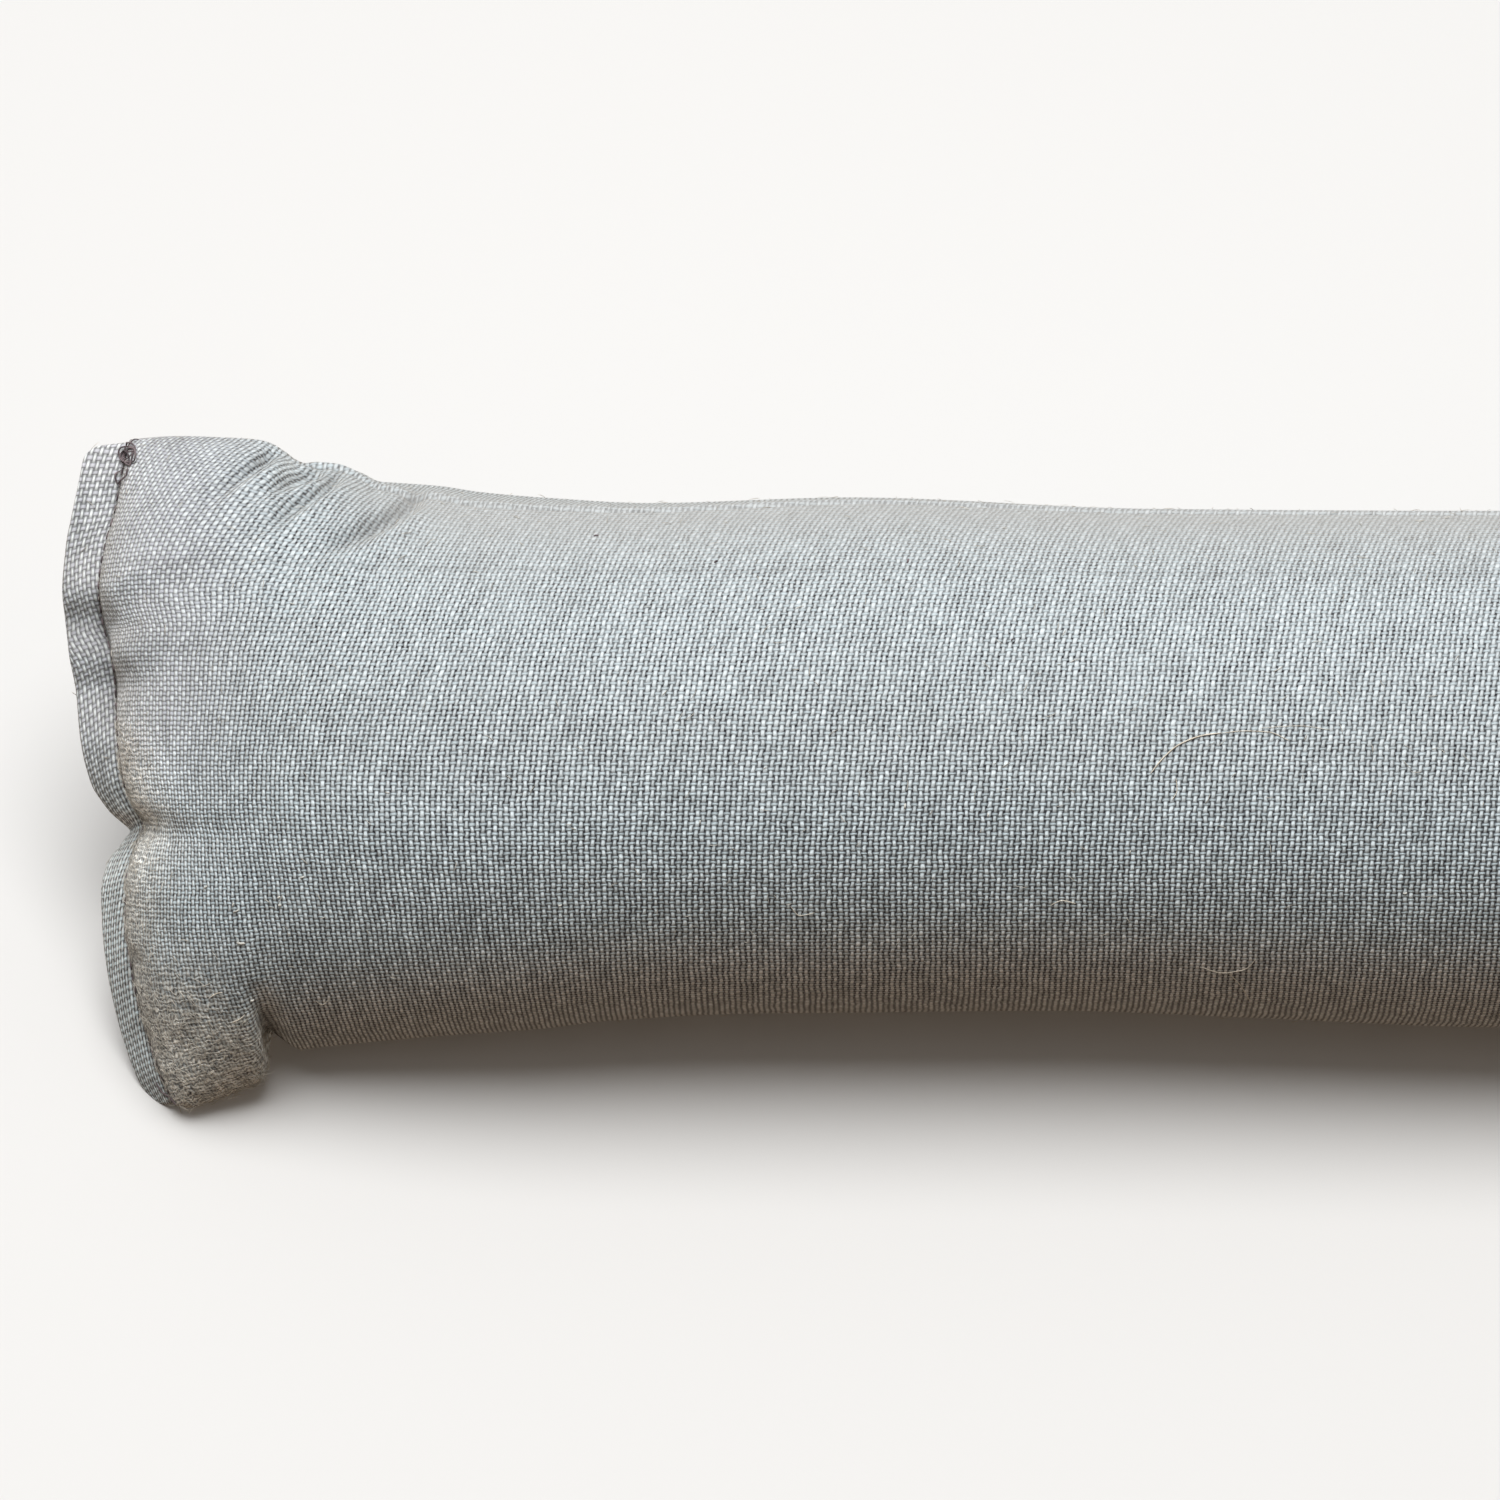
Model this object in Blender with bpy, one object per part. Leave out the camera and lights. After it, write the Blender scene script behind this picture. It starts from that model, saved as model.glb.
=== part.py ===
"""Draught excluder: one long tube of woven cotton, stuffed, lying on a floor.

Both ends are turned in and stitched flat, which leaves a narrow strip of doubled cloth
outside each line of stitches. The tube is one solid, a loft through rings of cloth.
A ring is laid out in the closure's own directions: x runs along the tube, up runs along
the closures from their front corner to their back corner, and out is square to both.
"""

import math
from collections import namedtuple

import bmesh
import bpy
import numpy as np

# Driving sizes, in metres
LENGTH = 0.900
RADIUS = 0.0512
STRIP_WIDTH = 0.009
STRIP_HALF_THICKNESS = 0.0013
STITCH_HALF_THICKNESS = 0.0009
STRIP_CORNER_RADIUS = 0.0035

# The strip turns from the closure's plane to its own lean over this share of its width,
# and the cloth inside a sharp bend is squeezed thinner by up to this share
STRIP_TURN = 0.6
STRIP_SQUEEZE = 0.8

# How far the strip is bent back is blended along the closure over this share of its length
BEND_BLEND = 0.045

# How the tube lies: the closures' plane leans back from level, the axis is this high
# over the floor, and the underside is pressed flat over a soft edge of this height
CLOSURE_TILT = math.radians(40)
AXIS_HEIGHT = 0.047
AXIS_Y = 0.0002
FLOOR_BLEND = 0.0015

# How fast the shape changes away from a line of stitches, in metres along the tube
CROWN_DEPTH = 0.044
ROUNDING_DEPTH = 0.035
FULL_EDGE_DEPTH = 0.021
WAVE_DEPTH = 0.017
WAVE_FADE_POWER = 1.5
STRAIGHTEN_DEPTH = 0.075

# The filling pushes the cloth out over the stitches by this much, at this distance in
OVERHANG = 0.0008
OVERHANG_DEPTH = 0.004

# Where the stitches run further in than this share of the closure does around them, the
# tube is as full there as beside it, from about this distance in
LEAD_BLEND = 0.12
LEAD_DEPTH = 0.005

# Powers of a half sine across a ring, from its back edge to its front edge: 1 is a round
# section, and the smaller the power, the blunter the section's edges
EDGE_POWER_AT_STITCHES = 0.45
OVERHANG_EDGE_POWER = 0.5
STRIP_EDGE_POWER = 0.25

# Colour and finish
CLOTH_COLOUR = (0.47, 0.51, 0.52, 1.0)
CLOTH_ROUGHNESS = 0.9

# Faces: the cloth that faces out has this many times the steps of the cloth that faces in
BOTTOM_STEPS = 28
TOP_PER_BOTTOM = 2
FINE_STEPS = 400

# Rings of the strip: share of its width out from the stitches, share of its thickness
StripRing = namedtuple("StripRing", "out thickness")
STRIP_RINGS = [
    StripRing(1.0, 0.5),
    StripRing(0.93, 0.9),
    StripRing(0.62, 1.0),
    StripRing(0.25, 0.95),
]

# Rings of the filled tube: up to this distance from the stitches, one every step
Span = namedtuple("Span", "end step")
LEFT_SPANS = [
    Span(0.0015, 0.00075),
    Span(0.0200, 0.0037),
    Span(0.0610, 0.00274),
    Span(0.1000, 0.0078),
    Span(0.4300, 0.0550),
]
RIGHT_SPANS = [
    Span(0.0015, 0.00075),
    Span(0.0700, 0.0049),
    Span(0.1000, 0.0100),
    Span(0.3800, 0.0560),
]

# Where points lie closer together round a ring, as a share of the way from its back edge
# to its front edge
Dense = namedtuple("Dense", "share width gain")
DENSE_PLACES = [
    Dense(0.10, 0.10, 1.5),
    Dense(0.60, 0.05, 1.0),
    Dense(0.93, 0.05, 1.5),
]

# The tube's outline seen square to the closures, as x from its left end and up
Outline = namedtuple("Outline", "x up")
BACK_OUTLINE = [
    Outline(0.0100, 0.0648),
    Outline(0.0236, 0.0658),
    Outline(0.0336, 0.0654),
    Outline(0.0396, 0.0648),
    Outline(0.0430, 0.0636),
    Outline(0.0456, 0.0616),
    Outline(0.0480, 0.0602),
    Outline(0.0556, 0.0598),
    Outline(0.0600, 0.0584),
    Outline(0.0636, 0.0567),
    Outline(0.0676, 0.0564),
    Outline(0.0756, 0.0558),
    Outline(0.0836, 0.0546),
    Outline(0.0976, 0.0534),
    Outline(0.1176, 0.0524),
    Outline(0.1576, 0.0535),
    Outline(0.2176, 0.0512),
    Outline(0.2876, 0.0508),
    Outline(0.3800, 0.0516),
    Outline(0.4700, 0.0506),
    Outline(0.5600, 0.0513),
    Outline(0.6600, 0.0509),
    Outline(0.7400, 0.0519),
    Outline(0.8000, 0.0533),
    Outline(0.8300, 0.0556),
    Outline(0.8440, 0.0576),
    Outline(0.8520, 0.0604),
    Outline(0.8580, 0.0634),
    Outline(0.8660, 0.0650),
    Outline(0.8780, 0.0656),
    Outline(0.8900, 0.0650),
]
FRONT_OUTLINE = [
    Outline(0.0180, -0.0670),
    Outline(0.0230, -0.0682),
    Outline(0.0256, -0.0686),
    Outline(0.0286, -0.0676),
    Outline(0.0326, -0.0664),
    Outline(0.0366, -0.0644),
    Outline(0.0402, -0.0612),
    Outline(0.0430, -0.0585),
    Outline(0.0480, -0.0570),
    Outline(0.0556, -0.0560),
    Outline(0.0756, -0.0542),
    Outline(0.0976, -0.0526),
    Outline(0.1076, -0.0513),
    Outline(0.1376, -0.0497),
    Outline(0.1576, -0.0495),
    Outline(0.1976, -0.0491),
    Outline(0.2376, -0.0505),
    Outline(0.2876, -0.0524),
    Outline(0.3800, -0.0512),
    Outline(0.4700, -0.0522),
    Outline(0.5600, -0.0514),
    Outline(0.6600, -0.0523),
    Outline(0.7400, -0.0511),
    Outline(0.8000, -0.0527),
    Outline(0.8280, -0.0546),
    Outline(0.8460, -0.0573),
    Outline(0.8560, -0.0612),
    Outline(0.8640, -0.0655),
    Outline(0.8740, -0.0676),
    Outline(0.8840, -0.0672),
]

# Each closure from its back corner to its front one. x counts from that end of the tube.
# The strip's fold lies on the edge, and where it looks narrow it is bent back. Out is how
# far the line waves. Each left row's x and up were read square to the closure.
Closure = namedtuple("Closure", "stitch_x stitch_up edge_x edge_up out")
LEFT_CLOSURE = [
    Closure(0.0136, 0.0646, 0.0046, 0.0636, 0.0),
    Closure(0.0122, 0.0574, 0.0034, 0.0572, 0.0004),
    Closure(0.0108, 0.0502, 0.0018, 0.0500, 0.0),
    Closure(0.0090, 0.0440, 0.0006, 0.0438, 0.0),
    Closure(0.0078, 0.0350, 0.0000, 0.0350, 0.0012),
    Closure(0.0084, 0.0286, 0.0004, 0.0286, -0.0014),
    Closure(0.0104, 0.0222, 0.0014, 0.0220, 0.0010),
    Closure(0.0110, 0.0155, 0.0025, 0.0155, -0.0008),
    Closure(0.0116, 0.0050, 0.0036, 0.0050, 0.0004),
    Closure(0.0126, -0.0034, 0.0054, -0.0030, -0.0006),
    Closure(0.0144, -0.0080, 0.0088, -0.0084, -0.0014),
    Closure(0.0162, -0.0124, 0.0136, -0.0136, -0.0034),
    Closure(0.0154, -0.0152, 0.0118, -0.0162, -0.0022),
    Closure(0.0142, -0.0190, 0.0088, -0.0206, -0.0006),
    Closure(0.0132, -0.0235, 0.0078, -0.0256, 0.0006),
    Closure(0.0130, -0.0310, 0.0080, -0.0330, 0.0),
    Closure(0.0140, -0.0390, 0.0089, -0.0410, 0.0004),
    Closure(0.0154, -0.0470, 0.0104, -0.0490, 0.0),
    Closure(0.0174, -0.0540, 0.0122, -0.0560, -0.0004),
    Closure(0.0196, -0.0610, 0.0146, -0.0626, 0.0002),
    Closure(0.0226, -0.0676, 0.0180, -0.0690, 0.0),
]
RIGHT_CLOSURE = [
    Closure(0.0142, 0.0648, 0.0056, 0.0640, 0.0),
    Closure(0.0122, 0.0540, 0.0034, 0.0540, 0.0008),
    Closure(0.0104, 0.0420, 0.0016, 0.0420, -0.0010),
    Closure(0.0094, 0.0300, 0.0006, 0.0302, 0.0012),
    Closure(0.0090, 0.0190, 0.0000, 0.0190, -0.0006),
    Closure(0.0092, 0.0080, 0.0004, 0.0080, -0.0016),
    Closure(0.0100, -0.0020, 0.0012, -0.0024, 0.0010),
    Closure(0.0104, -0.0130, 0.0016, -0.0130, 0.0006),
    Closure(0.0104, -0.0240, 0.0020, -0.0246, -0.0014),
    Closure(0.0110, -0.0350, 0.0032, -0.0360, 0.0008),
    Closure(0.0124, -0.0460, 0.0048, -0.0470, 0.0),
    Closure(0.0142, -0.0570, 0.0066, -0.0584, 0.0004),
    Closure(0.0166, -0.0664, 0.0088, -0.0680, 0.0),
]

# Creases on the side that faces out. Each runs from its deep start to where it dies away,
# bowed to its left by bow, with a low ridge along its left side. x counts from the left end.
# Under is how far it goes on round the tube's outline to the side that faces in.
Crease = namedtuple("Crease", "x0 up0 x1 up1 bow width depth ridge under")
CREASES = [
    Crease(0.0432, 0.0628, 0.0325, 0.0515, 0.0, 0.0024, 0.0026, 0.0008, 0.0),
    Crease(0.0520, 0.0584, 0.0440, 0.0560, 0.0, 0.0022, 0.0018, 0.0005, 0.0),
    Crease(0.0555, 0.0562, 0.0396, 0.0450, 0.0, 0.0025, 0.0026, 0.0008, 0.0),
    Crease(0.0722, 0.0544, 0.0525, 0.0450, 0.0006, 0.0030, 0.0044, 0.0014, 0.0),
    Crease(0.0436, -0.0630, 0.0400, -0.0422, -0.0014, 0.0028, 0.0062, 0.0014, 0.012),
    Crease(0.0162, -0.0130, 0.0280, -0.0110, 0.0, 0.0040, 0.0012, 0.0, 0.0),
    Crease(0.0090, 0.0282, 0.0215, 0.0262, 0.0, 0.0034, 0.0014, 0.0004, 0.0),
    Crease(0.0110, 0.0160, 0.0240, 0.0175, 0.0, 0.0034, 0.0010, 0.0003, 0.0),
    Crease(0.0150, -0.0370, 0.0195, -0.0540, 0.0, 0.0026, 0.0010, 0.0, 0.0),
    Crease(0.8560, 0.0620, 0.8660, 0.0500, 0.0, 0.0034, 0.0030, 0.0008, 0.0),
    Crease(0.8400, 0.0570, 0.8560, 0.0440, 0.0, 0.0034, 0.0026, 0.0008, 0.0),
    Crease(0.8240, 0.0550, 0.8440, 0.0430, 0.0, 0.0036, 0.0032, 0.0010, 0.0),
    Crease(0.8560, -0.0630, 0.8600, -0.0440, 0.0012, 0.0034, 0.0052, 0.0012, 0.010),
    Crease(0.8896, 0.0100, 0.8740, 0.0090, 0.0, 0.0040, 0.0016, 0.0, 0.0),
]

# A crease deepens over twice this share of its length, then dies away with this power.
# Its ridge lies this many widths to its left. It fades out over this height of out.
CREASE_START = 0.12
CREASE_TAIL = 1.2
RIDGE_WIDTHS = 1.9
CREASE_FADE = 0.006


def smooth_steps(t):
    """0 to 1 with level ends."""
    t = np.clip(t, 0.0, 1.0)
    return t * t * (3.0 - 2.0 * t)


def curve_through(xs, ys, at):
    """A smooth curve through a table's points that never overshoots them."""
    xs, ys = np.asarray(xs, float), np.asarray(ys, float)
    step = np.diff(xs)
    rise = np.diff(ys) / step
    slope = np.zeros(len(xs))
    slope[0], slope[-1] = rise[0], rise[-1]
    inner = rise[:-1] * rise[1:] > 0
    mean = 2.0 * rise[:-1] * rise[1:] / np.where(inner, rise[:-1] + rise[1:], 1.0)
    slope[1:-1] = np.where(inner, mean, 0.0)
    at = np.clip(at, xs[0], xs[-1])
    i = np.clip(np.searchsorted(xs, at) - 1, 0, len(step) - 1)
    t = (at - xs[i]) / step[i]
    h = step[i]
    start = (1 + 2 * t) * (1 - t) ** 2 * ys[i] + t * (1 - t) ** 2 * h * slope[i]
    end = t * t * (3 - 2 * t) * ys[i + 1] - t * t * (1 - t) * h * slope[i + 1]
    return start + end


def outline_at(x):
    """The back and front edges of the tube's outline at x from its left end."""
    back = curve_through([r.x for r in BACK_OUTLINE], [r.up for r in BACK_OUTLINE], x)
    front = curve_through([r.x for r in FRONT_OUTLINE], [r.up for r in FRONT_OUTLINE], x)
    return back, front


def blended(values, share):
    """Values along a closure, each blended with those around it over this share of the way."""
    reach = round(3.0 * share * FINE_STEPS)
    weight = np.exp(-0.5 * (np.arange(-reach, reach + 1) / (share * FINE_STEPS)) ** 2)
    return np.convolve(np.pad(values, reach, mode="edge"), weight / weight.sum(), mode="valid")


def closure_lines(rows):
    """Fine lines along one closure: its share of the way, its stitches and its edge."""
    table = np.array(rows)
    along = np.hypot(np.diff(table[:, 0]), np.diff(table[:, 1]))
    share = np.concatenate([[0.0], np.cumsum(along)])
    share /= share[-1]
    v = np.linspace(0.0, 1.0, FINE_STEPS + 1)
    columns = [curve_through(share, table[:, c], v) for c in range(table.shape[1])]
    stitch = np.column_stack([columns[0], columns[1], columns[4]])
    seen = np.hypot(columns[2] - columns[0], columns[3] - columns[1])
    bent_back = blended(np.sqrt(np.maximum(STRIP_WIDTH**2 - seen**2, 0.0)), BEND_BLEND)
    edge = np.column_stack([columns[2], columns[3], columns[4] - bent_back])
    return v, stitch, edge


def spaced(line, count, density):
    """The same line with fewer points, closer together where density is high."""
    piece = np.linalg.norm(np.diff(line, axis=0), axis=1)
    piece *= (density[1:] + density[:-1]) / 2.0
    length = np.concatenate([[0.0], np.cumsum(piece)])
    at = np.linspace(0.0, length[-1], count + 1)
    return np.column_stack([np.interp(at, length, line[:, c]) for c in range(3)])


def ring_from(top, bottom):
    """One ring of points from the cloth that faces out and the cloth that faces in."""
    v = np.linspace(0.0, 1.0, FINE_STEPS + 1)
    bumps = [d.gain * np.exp(-(((v - d.share) / d.width) ** 2)) for d in DENSE_PLACES]
    density = 1.0 + sum(bumps)
    top = spaced(top, BOTTOM_STEPS * TOP_PER_BOTTOM, density)
    bottom = spaced(bottom, BOTTOM_STEPS, density)
    return np.vstack([top, bottom[-2:0:-1]])


def strip_ring(lines, share_out, thickness_share):
    """A ring of the flat strip, at a share of its width out from the stitches."""
    v, stitch, edge = lines
    length = np.linalg.norm(np.diff(stitch, axis=0), axis=1).sum()
    to_corner = np.minimum(v, 1.0 - v) * length
    inside = np.clip(STRIP_CORNER_RADIUS - to_corner, 0.0, STRIP_CORNER_RADIUS)
    cut = STRIP_CORNER_RADIUS - np.sqrt(STRIP_CORNER_RADIUS**2 - inside**2)
    reach = share_out * (1.0 - cut / STRIP_WIDTH)
    middle = stitch + (edge - stitch) * reach[:, None]
    across = np.cross(edge - stitch, np.gradient(stitch, axis=0))
    across /= np.linalg.norm(across, axis=1)[:, None]
    turned = smooth_steps(share_out / STRIP_TURN)
    across = turned * across + (1.0 - turned) * np.array([0.0, 0.0, 1.0])
    across /= np.linalg.norm(across, axis=1)[:, None]
    half = STRIP_HALF_THICKNESS * thickness_share * np.sin(math.pi * v) ** STRIP_EDGE_POWER
    bent = np.clip((stitch[:, 2] - edge[:, 2]) / STRIP_WIDTH, 0.0, 1.0)
    squeezed = half * (1.0 - STRIP_SQUEEZE * bent**4)
    return ring_from(middle + across * half[:, None], middle - across * squeezed[:, None])


def tube_ring(lines, from_left, distance):
    """A ring of the filled tube, at a distance in from the stitches."""
    v, stitch, _ = lines
    mean_x = stitch[:, 0].mean()
    straight = smooth_steps(distance / STRAIGHTEN_DEPTH)
    overhang = OVERHANG * (distance / OVERHANG_DEPTH) * math.exp(1.0 - distance / OVERHANG_DEPTH)
    x = stitch[:, 0] + distance + (mean_x - stitch[:, 0]) * straight
    half_sine = np.sin(math.pi * v)
    x = x - overhang * half_sine**OVERHANG_EDGE_POWER
    back, front = outline_at(x if from_left else LENGTH - x)
    middle, half_width = (back + front) / 2.0, (back - front) / 2.0
    closure_back, closure_front = stitch[0, 1], stitch[-1, 1]
    closure_share = 2.0 * (stitch[:, 1] - closure_front) / (closure_back - closure_front) - 1.0
    roundness = 1.0 - math.exp(-distance / ROUNDING_DEPTH)
    up = middle + half_width * (
        (1.0 - roundness) * closure_share + roundness * np.cos(math.pi * v)
    )
    wave = stitch[:, 2] * math.exp(-((distance / WAVE_DEPTH) ** WAVE_FADE_POWER))
    lead = (stitch[:, 0] - blended(stitch[:, 0], LEAD_BLEND)) * half_sine
    depth = distance + lead * (1.0 - math.exp(-distance / LEAD_DEPTH))
    filled = np.sqrt(1.0 - np.exp(-depth / CROWN_DEPTH))
    edge_power = 1.0 - (1.0 - EDGE_POWER_AT_STITCHES) * math.exp(-distance / FULL_EDGE_DEPTH)
    swell = (RADIUS * filled + STITCH_HALF_THICKNESS) * half_sine**edge_power
    top = np.column_stack([x, up, wave + swell])
    bottom = np.column_stack([x, up, wave - swell])
    return ring_from(top, bottom)


def ring_distances(spans):
    """Distances from the stitches of one end's rings."""
    distances = [0.0]
    for span in spans:
        start = distances[-1]
        count = round((span.end - start) / span.step)
        distances += [start + (span.end - start) * (i + 1) / count for i in range(count)]
    return distances


def end_rings(rows, spans, from_left):
    """All rings of one end, from its outer fold to near the tube's middle."""
    lines = closure_lines(rows)
    rings = [strip_ring(lines, ring.out, ring.thickness) for ring in STRIP_RINGS]
    rings += [tube_ring(lines, from_left, distance) for distance in ring_distances(spans)]
    rings = np.array(rings)
    if not from_left:
        rings[:, :, 0] = LENGTH - rings[:, :, 0]
    return rings


def crease_offset(points):
    """How far the creases push each point out, negative in a valley."""
    x, up, out = points[..., 0], points[..., 1], points[..., 2]
    total = np.zeros(x.shape)
    for c in CREASES:
        length = math.hypot(c.x1 - c.x0, c.up1 - c.up0)
        along = np.array([c.x1 - c.x0, c.up1 - c.up0]) / length
        t = ((x - c.x0) * along[0] + (up - c.up0) * along[1]) / length
        side = (up - c.up0) * along[0] - (x - c.x0) * along[1]
        side = side - 4.0 * c.bow * t * (1.0 - t)
        fade = smooth_steps((t + CREASE_START) / (2.0 * CREASE_START))
        fade = fade * (1.0 - np.clip(t, 0.0, 1.0)) ** CREASE_TAIL
        valley = c.depth * np.exp(-((side / c.width) ** 2))
        ridge = c.ridge * np.exp(-((side / c.width - RIDGE_WIDTHS) ** 2))
        total += fade * (ridge - valley) * smooth_steps((out + c.under) / CREASE_FADE)
    return total


def creased(rings):
    """The rings with the creases pressed in, square to the cloth."""
    around = np.roll(rings, -1, axis=1) - np.roll(rings, 1, axis=1)
    along = np.gradient(rings, axis=0)
    normal = np.cross(around, along)
    normal /= np.maximum(np.linalg.norm(normal, axis=2), 1e-12)[:, :, None]
    return rings + normal * crease_offset(rings)[:, :, None]


def laid_on_floor(rings):
    """The rings turned into the way the tube lies, with the floor pressing them flat."""
    x, up, out = rings[..., 0], rings[..., 1], rings[..., 2]
    y = up * math.cos(CLOSURE_TILT) - out * math.sin(CLOSURE_TILT) + AXIS_Y
    z = up * math.sin(CLOSURE_TILT) + out * math.cos(CLOSURE_TILT) + AXIS_HEIGHT
    pressed = np.where(z < FLOOR_BLEND, (z + FLOOR_BLEND) ** 2 / (4.0 * FLOOR_BLEND), z)
    pressed = np.where(z < -FLOOR_BLEND, 0.0, pressed)
    return np.stack([x - LENGTH / 2.0, y, pressed], axis=-1)


def loft_faces(ring_count, ring_size):
    """Quads between neighbouring rings, and a fan of quads across each outermost ring."""
    faces = []
    for i in range(ring_count - 1):
        for j in range(ring_size):
            k = (j + 1) % ring_size
            a, b = i * ring_size, (i + 1) * ring_size
            faces.append((a + j, a + k, b + k, b + j))
    for first in (0, (ring_count - 1) * ring_size):
        for j in range(BOTTOM_STEPS * TOP_PER_BOTTOM):
            below = -(j // TOP_PER_BOTTOM) % ring_size
            below_next = -((j + 1) // TOP_PER_BOTTOM) % ring_size
            corners = dict.fromkeys([j, j + 1, below_next, below])
            if len(corners) > 2:
                faces.append(tuple(first + c for c in corners))
    return faces


def build_tube():
    """The mesh of the whole tube."""
    left = end_rings(LEFT_CLOSURE, LEFT_SPANS, True)
    right = end_rings(RIGHT_CLOSURE, RIGHT_SPANS, False)
    rings = laid_on_floor(creased(np.concatenate([left, right[::-1]])))
    mesh = bmesh.new()
    points = [mesh.verts.new(p) for p in rings.reshape(-1, 3)]
    for face in loft_faces(*rings.shape[:2]):
        mesh.faces.new([points[i] for i in face])
    bmesh.ops.recalc_face_normals(mesh, faces=mesh.faces)
    data = bpy.data.meshes.new("filled_tube")
    mesh.to_mesh(data)
    mesh.free()
    data.shade_smooth()
    return data


def cloth_material():
    """Grey-blue plain-woven cotton."""
    material = bpy.data.materials.new("blue_grey_cotton")
    material.use_nodes = True
    shader = material.node_tree.nodes["Principled BSDF"]
    shader.inputs["Base Color"].default_value = CLOTH_COLOUR
    shader.inputs["Roughness"].default_value = CLOTH_ROUGHNESS
    shader.inputs["Metallic"].default_value = 0.0
    return material


def main():
    for thing in list(bpy.data.objects):
        bpy.data.objects.remove(thing)
    collection = bpy.data.collections.new("draught_excluder")
    bpy.context.scene.collection.children.link(collection)
    tube = bpy.data.objects.new("filled_tube", build_tube())
    tube.data.materials.append(cloth_material())
    collection.objects.link(tube)


main()
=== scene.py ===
"""Looks of the draught excluder: its cloth, seam, stitches and fuzz, a floor and soft light."""

import math
from collections import namedtuple

import bpy
import numpy as np
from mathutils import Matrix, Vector
from mathutils.bvhtree import BVHTree


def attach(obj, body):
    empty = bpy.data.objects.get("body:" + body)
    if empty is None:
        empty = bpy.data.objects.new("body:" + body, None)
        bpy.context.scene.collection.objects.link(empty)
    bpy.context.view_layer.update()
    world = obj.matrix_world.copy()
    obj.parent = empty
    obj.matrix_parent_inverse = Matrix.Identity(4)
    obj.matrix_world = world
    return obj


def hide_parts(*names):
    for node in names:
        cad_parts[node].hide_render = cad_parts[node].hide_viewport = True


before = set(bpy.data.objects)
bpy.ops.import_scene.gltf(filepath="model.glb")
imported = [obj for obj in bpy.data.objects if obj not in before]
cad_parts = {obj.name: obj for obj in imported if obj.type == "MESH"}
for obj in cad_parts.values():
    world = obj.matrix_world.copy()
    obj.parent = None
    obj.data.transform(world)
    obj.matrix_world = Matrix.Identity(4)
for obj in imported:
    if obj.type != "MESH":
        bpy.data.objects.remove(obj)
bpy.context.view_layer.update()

# The tube's sizes, in metres
LENGTH = 0.900
RADIUS = 0.0512
STRIP_WIDTH = 0.009
STRIP_HALF_THICKNESS = 0.0013
STITCH_HALF_THICKNESS = 0.0009
STRIP_CORNER_RADIUS = 0.0035
STRIP_TURN = 0.6
STRIP_SQUEEZE = 0.8
BEND_BLEND = 0.045
CLOSURE_TILT = math.radians(40)
AXIS_HEIGHT = 0.047
AXIS_Y = 0.0002
FLOOR_BLEND = 0.0015

# How fast the shape changes away from a line of stitches, in metres along the tube
CROWN_DEPTH = 0.044
ROUNDING_DEPTH = 0.035
FULL_EDGE_DEPTH = 0.021
WAVE_DEPTH = 0.017
WAVE_FADE_POWER = 1.5
STRAIGHTEN_DEPTH = 0.075
OVERHANG = 0.0008
OVERHANG_DEPTH = 0.004
LEAD_BLEND = 0.12
LEAD_DEPTH = 0.005

# Powers of a half sine across a ring, from its back edge to its front edge
EDGE_POWER_AT_STITCHES = 0.45
OVERHANG_EDGE_POWER = 0.5
STRIP_EDGE_POWER = 0.25

# Faces: steps of the cloth that faces in, and how many times as many face out
BOTTOM_STEPS = 110
TOP_PER_BOTTOM = 2
TOP_STEPS = BOTTOM_STEPS * TOP_PER_BOTTOM
RING_SIZE = TOP_STEPS + BOTTOM_STEPS
FINE_STEPS = 1600

# The weave: how far apart its threads lie, in metres
THREAD_ROUND = 0.00112
THREAD_ALONG = 0.00098

# The threads that run round the tube lean: by a slope that grows between these places
LEAN_FROM = -0.0285
LEAN_TO = 0.075
LEAN_SLOPE = 0.095
LEAN_BEND = 1.9
LEAN_BEHIND = 0.05
BOW_EASE = 0.45

# Near the stitches the threads lean less, and they are gathered closer by this share
END_LEAN = 0.45
GATHER = 0.15
STRIP_ROWS = 0.72


def in_metres(rows):
    """Rows of lengths in millimetres, in metres."""
    return [tuple(length / 1000.0 for length in row) for row in rows]


# The tables of lengths inside in_metres are in millimetres
Span = namedtuple("Span", "end step")
LEFT_SPANS = [
    Span(0.0030, 0.00030),
    Span(0.0200, 0.00075),
    Span(0.0760, 0.00085),
    Span(0.1300, 0.0024),
    Span(0.2900, 0.0055),
    Span(0.4300, 0.0120),
]
RIGHT_SPANS = [
    Span(0.0030, 0.00040),
    Span(0.0700, 0.0016),
    Span(0.1200, 0.0045),
    Span(0.3800, 0.0150),
]
StripRing = namedtuple("StripRing", "out thickness")
STRIP_RINGS = [
    StripRing(1.0, 0.25),
    StripRing(0.985, 0.62),
    StripRing(0.95, 0.86),
    StripRing(0.88, 1.0),
    StripRing(0.76, 1.04),
    StripRing(0.64, 1.0),
    StripRing(0.52, 1.0),
    StripRing(0.40, 1.02),
    StripRing(0.29, 1.04),
    StripRing(0.19, 0.98),
    StripRing(0.10, 0.86),
    StripRing(0.04, 0.74),
]
Dense = namedtuple("Dense", "share width gain")
DENSE_PLACES = [
    Dense(0.065, 0.045, 4.0),
    Dense(0.60, 0.05, 0.8),
    Dense(0.95, 0.06, 1.2),
]

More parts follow.
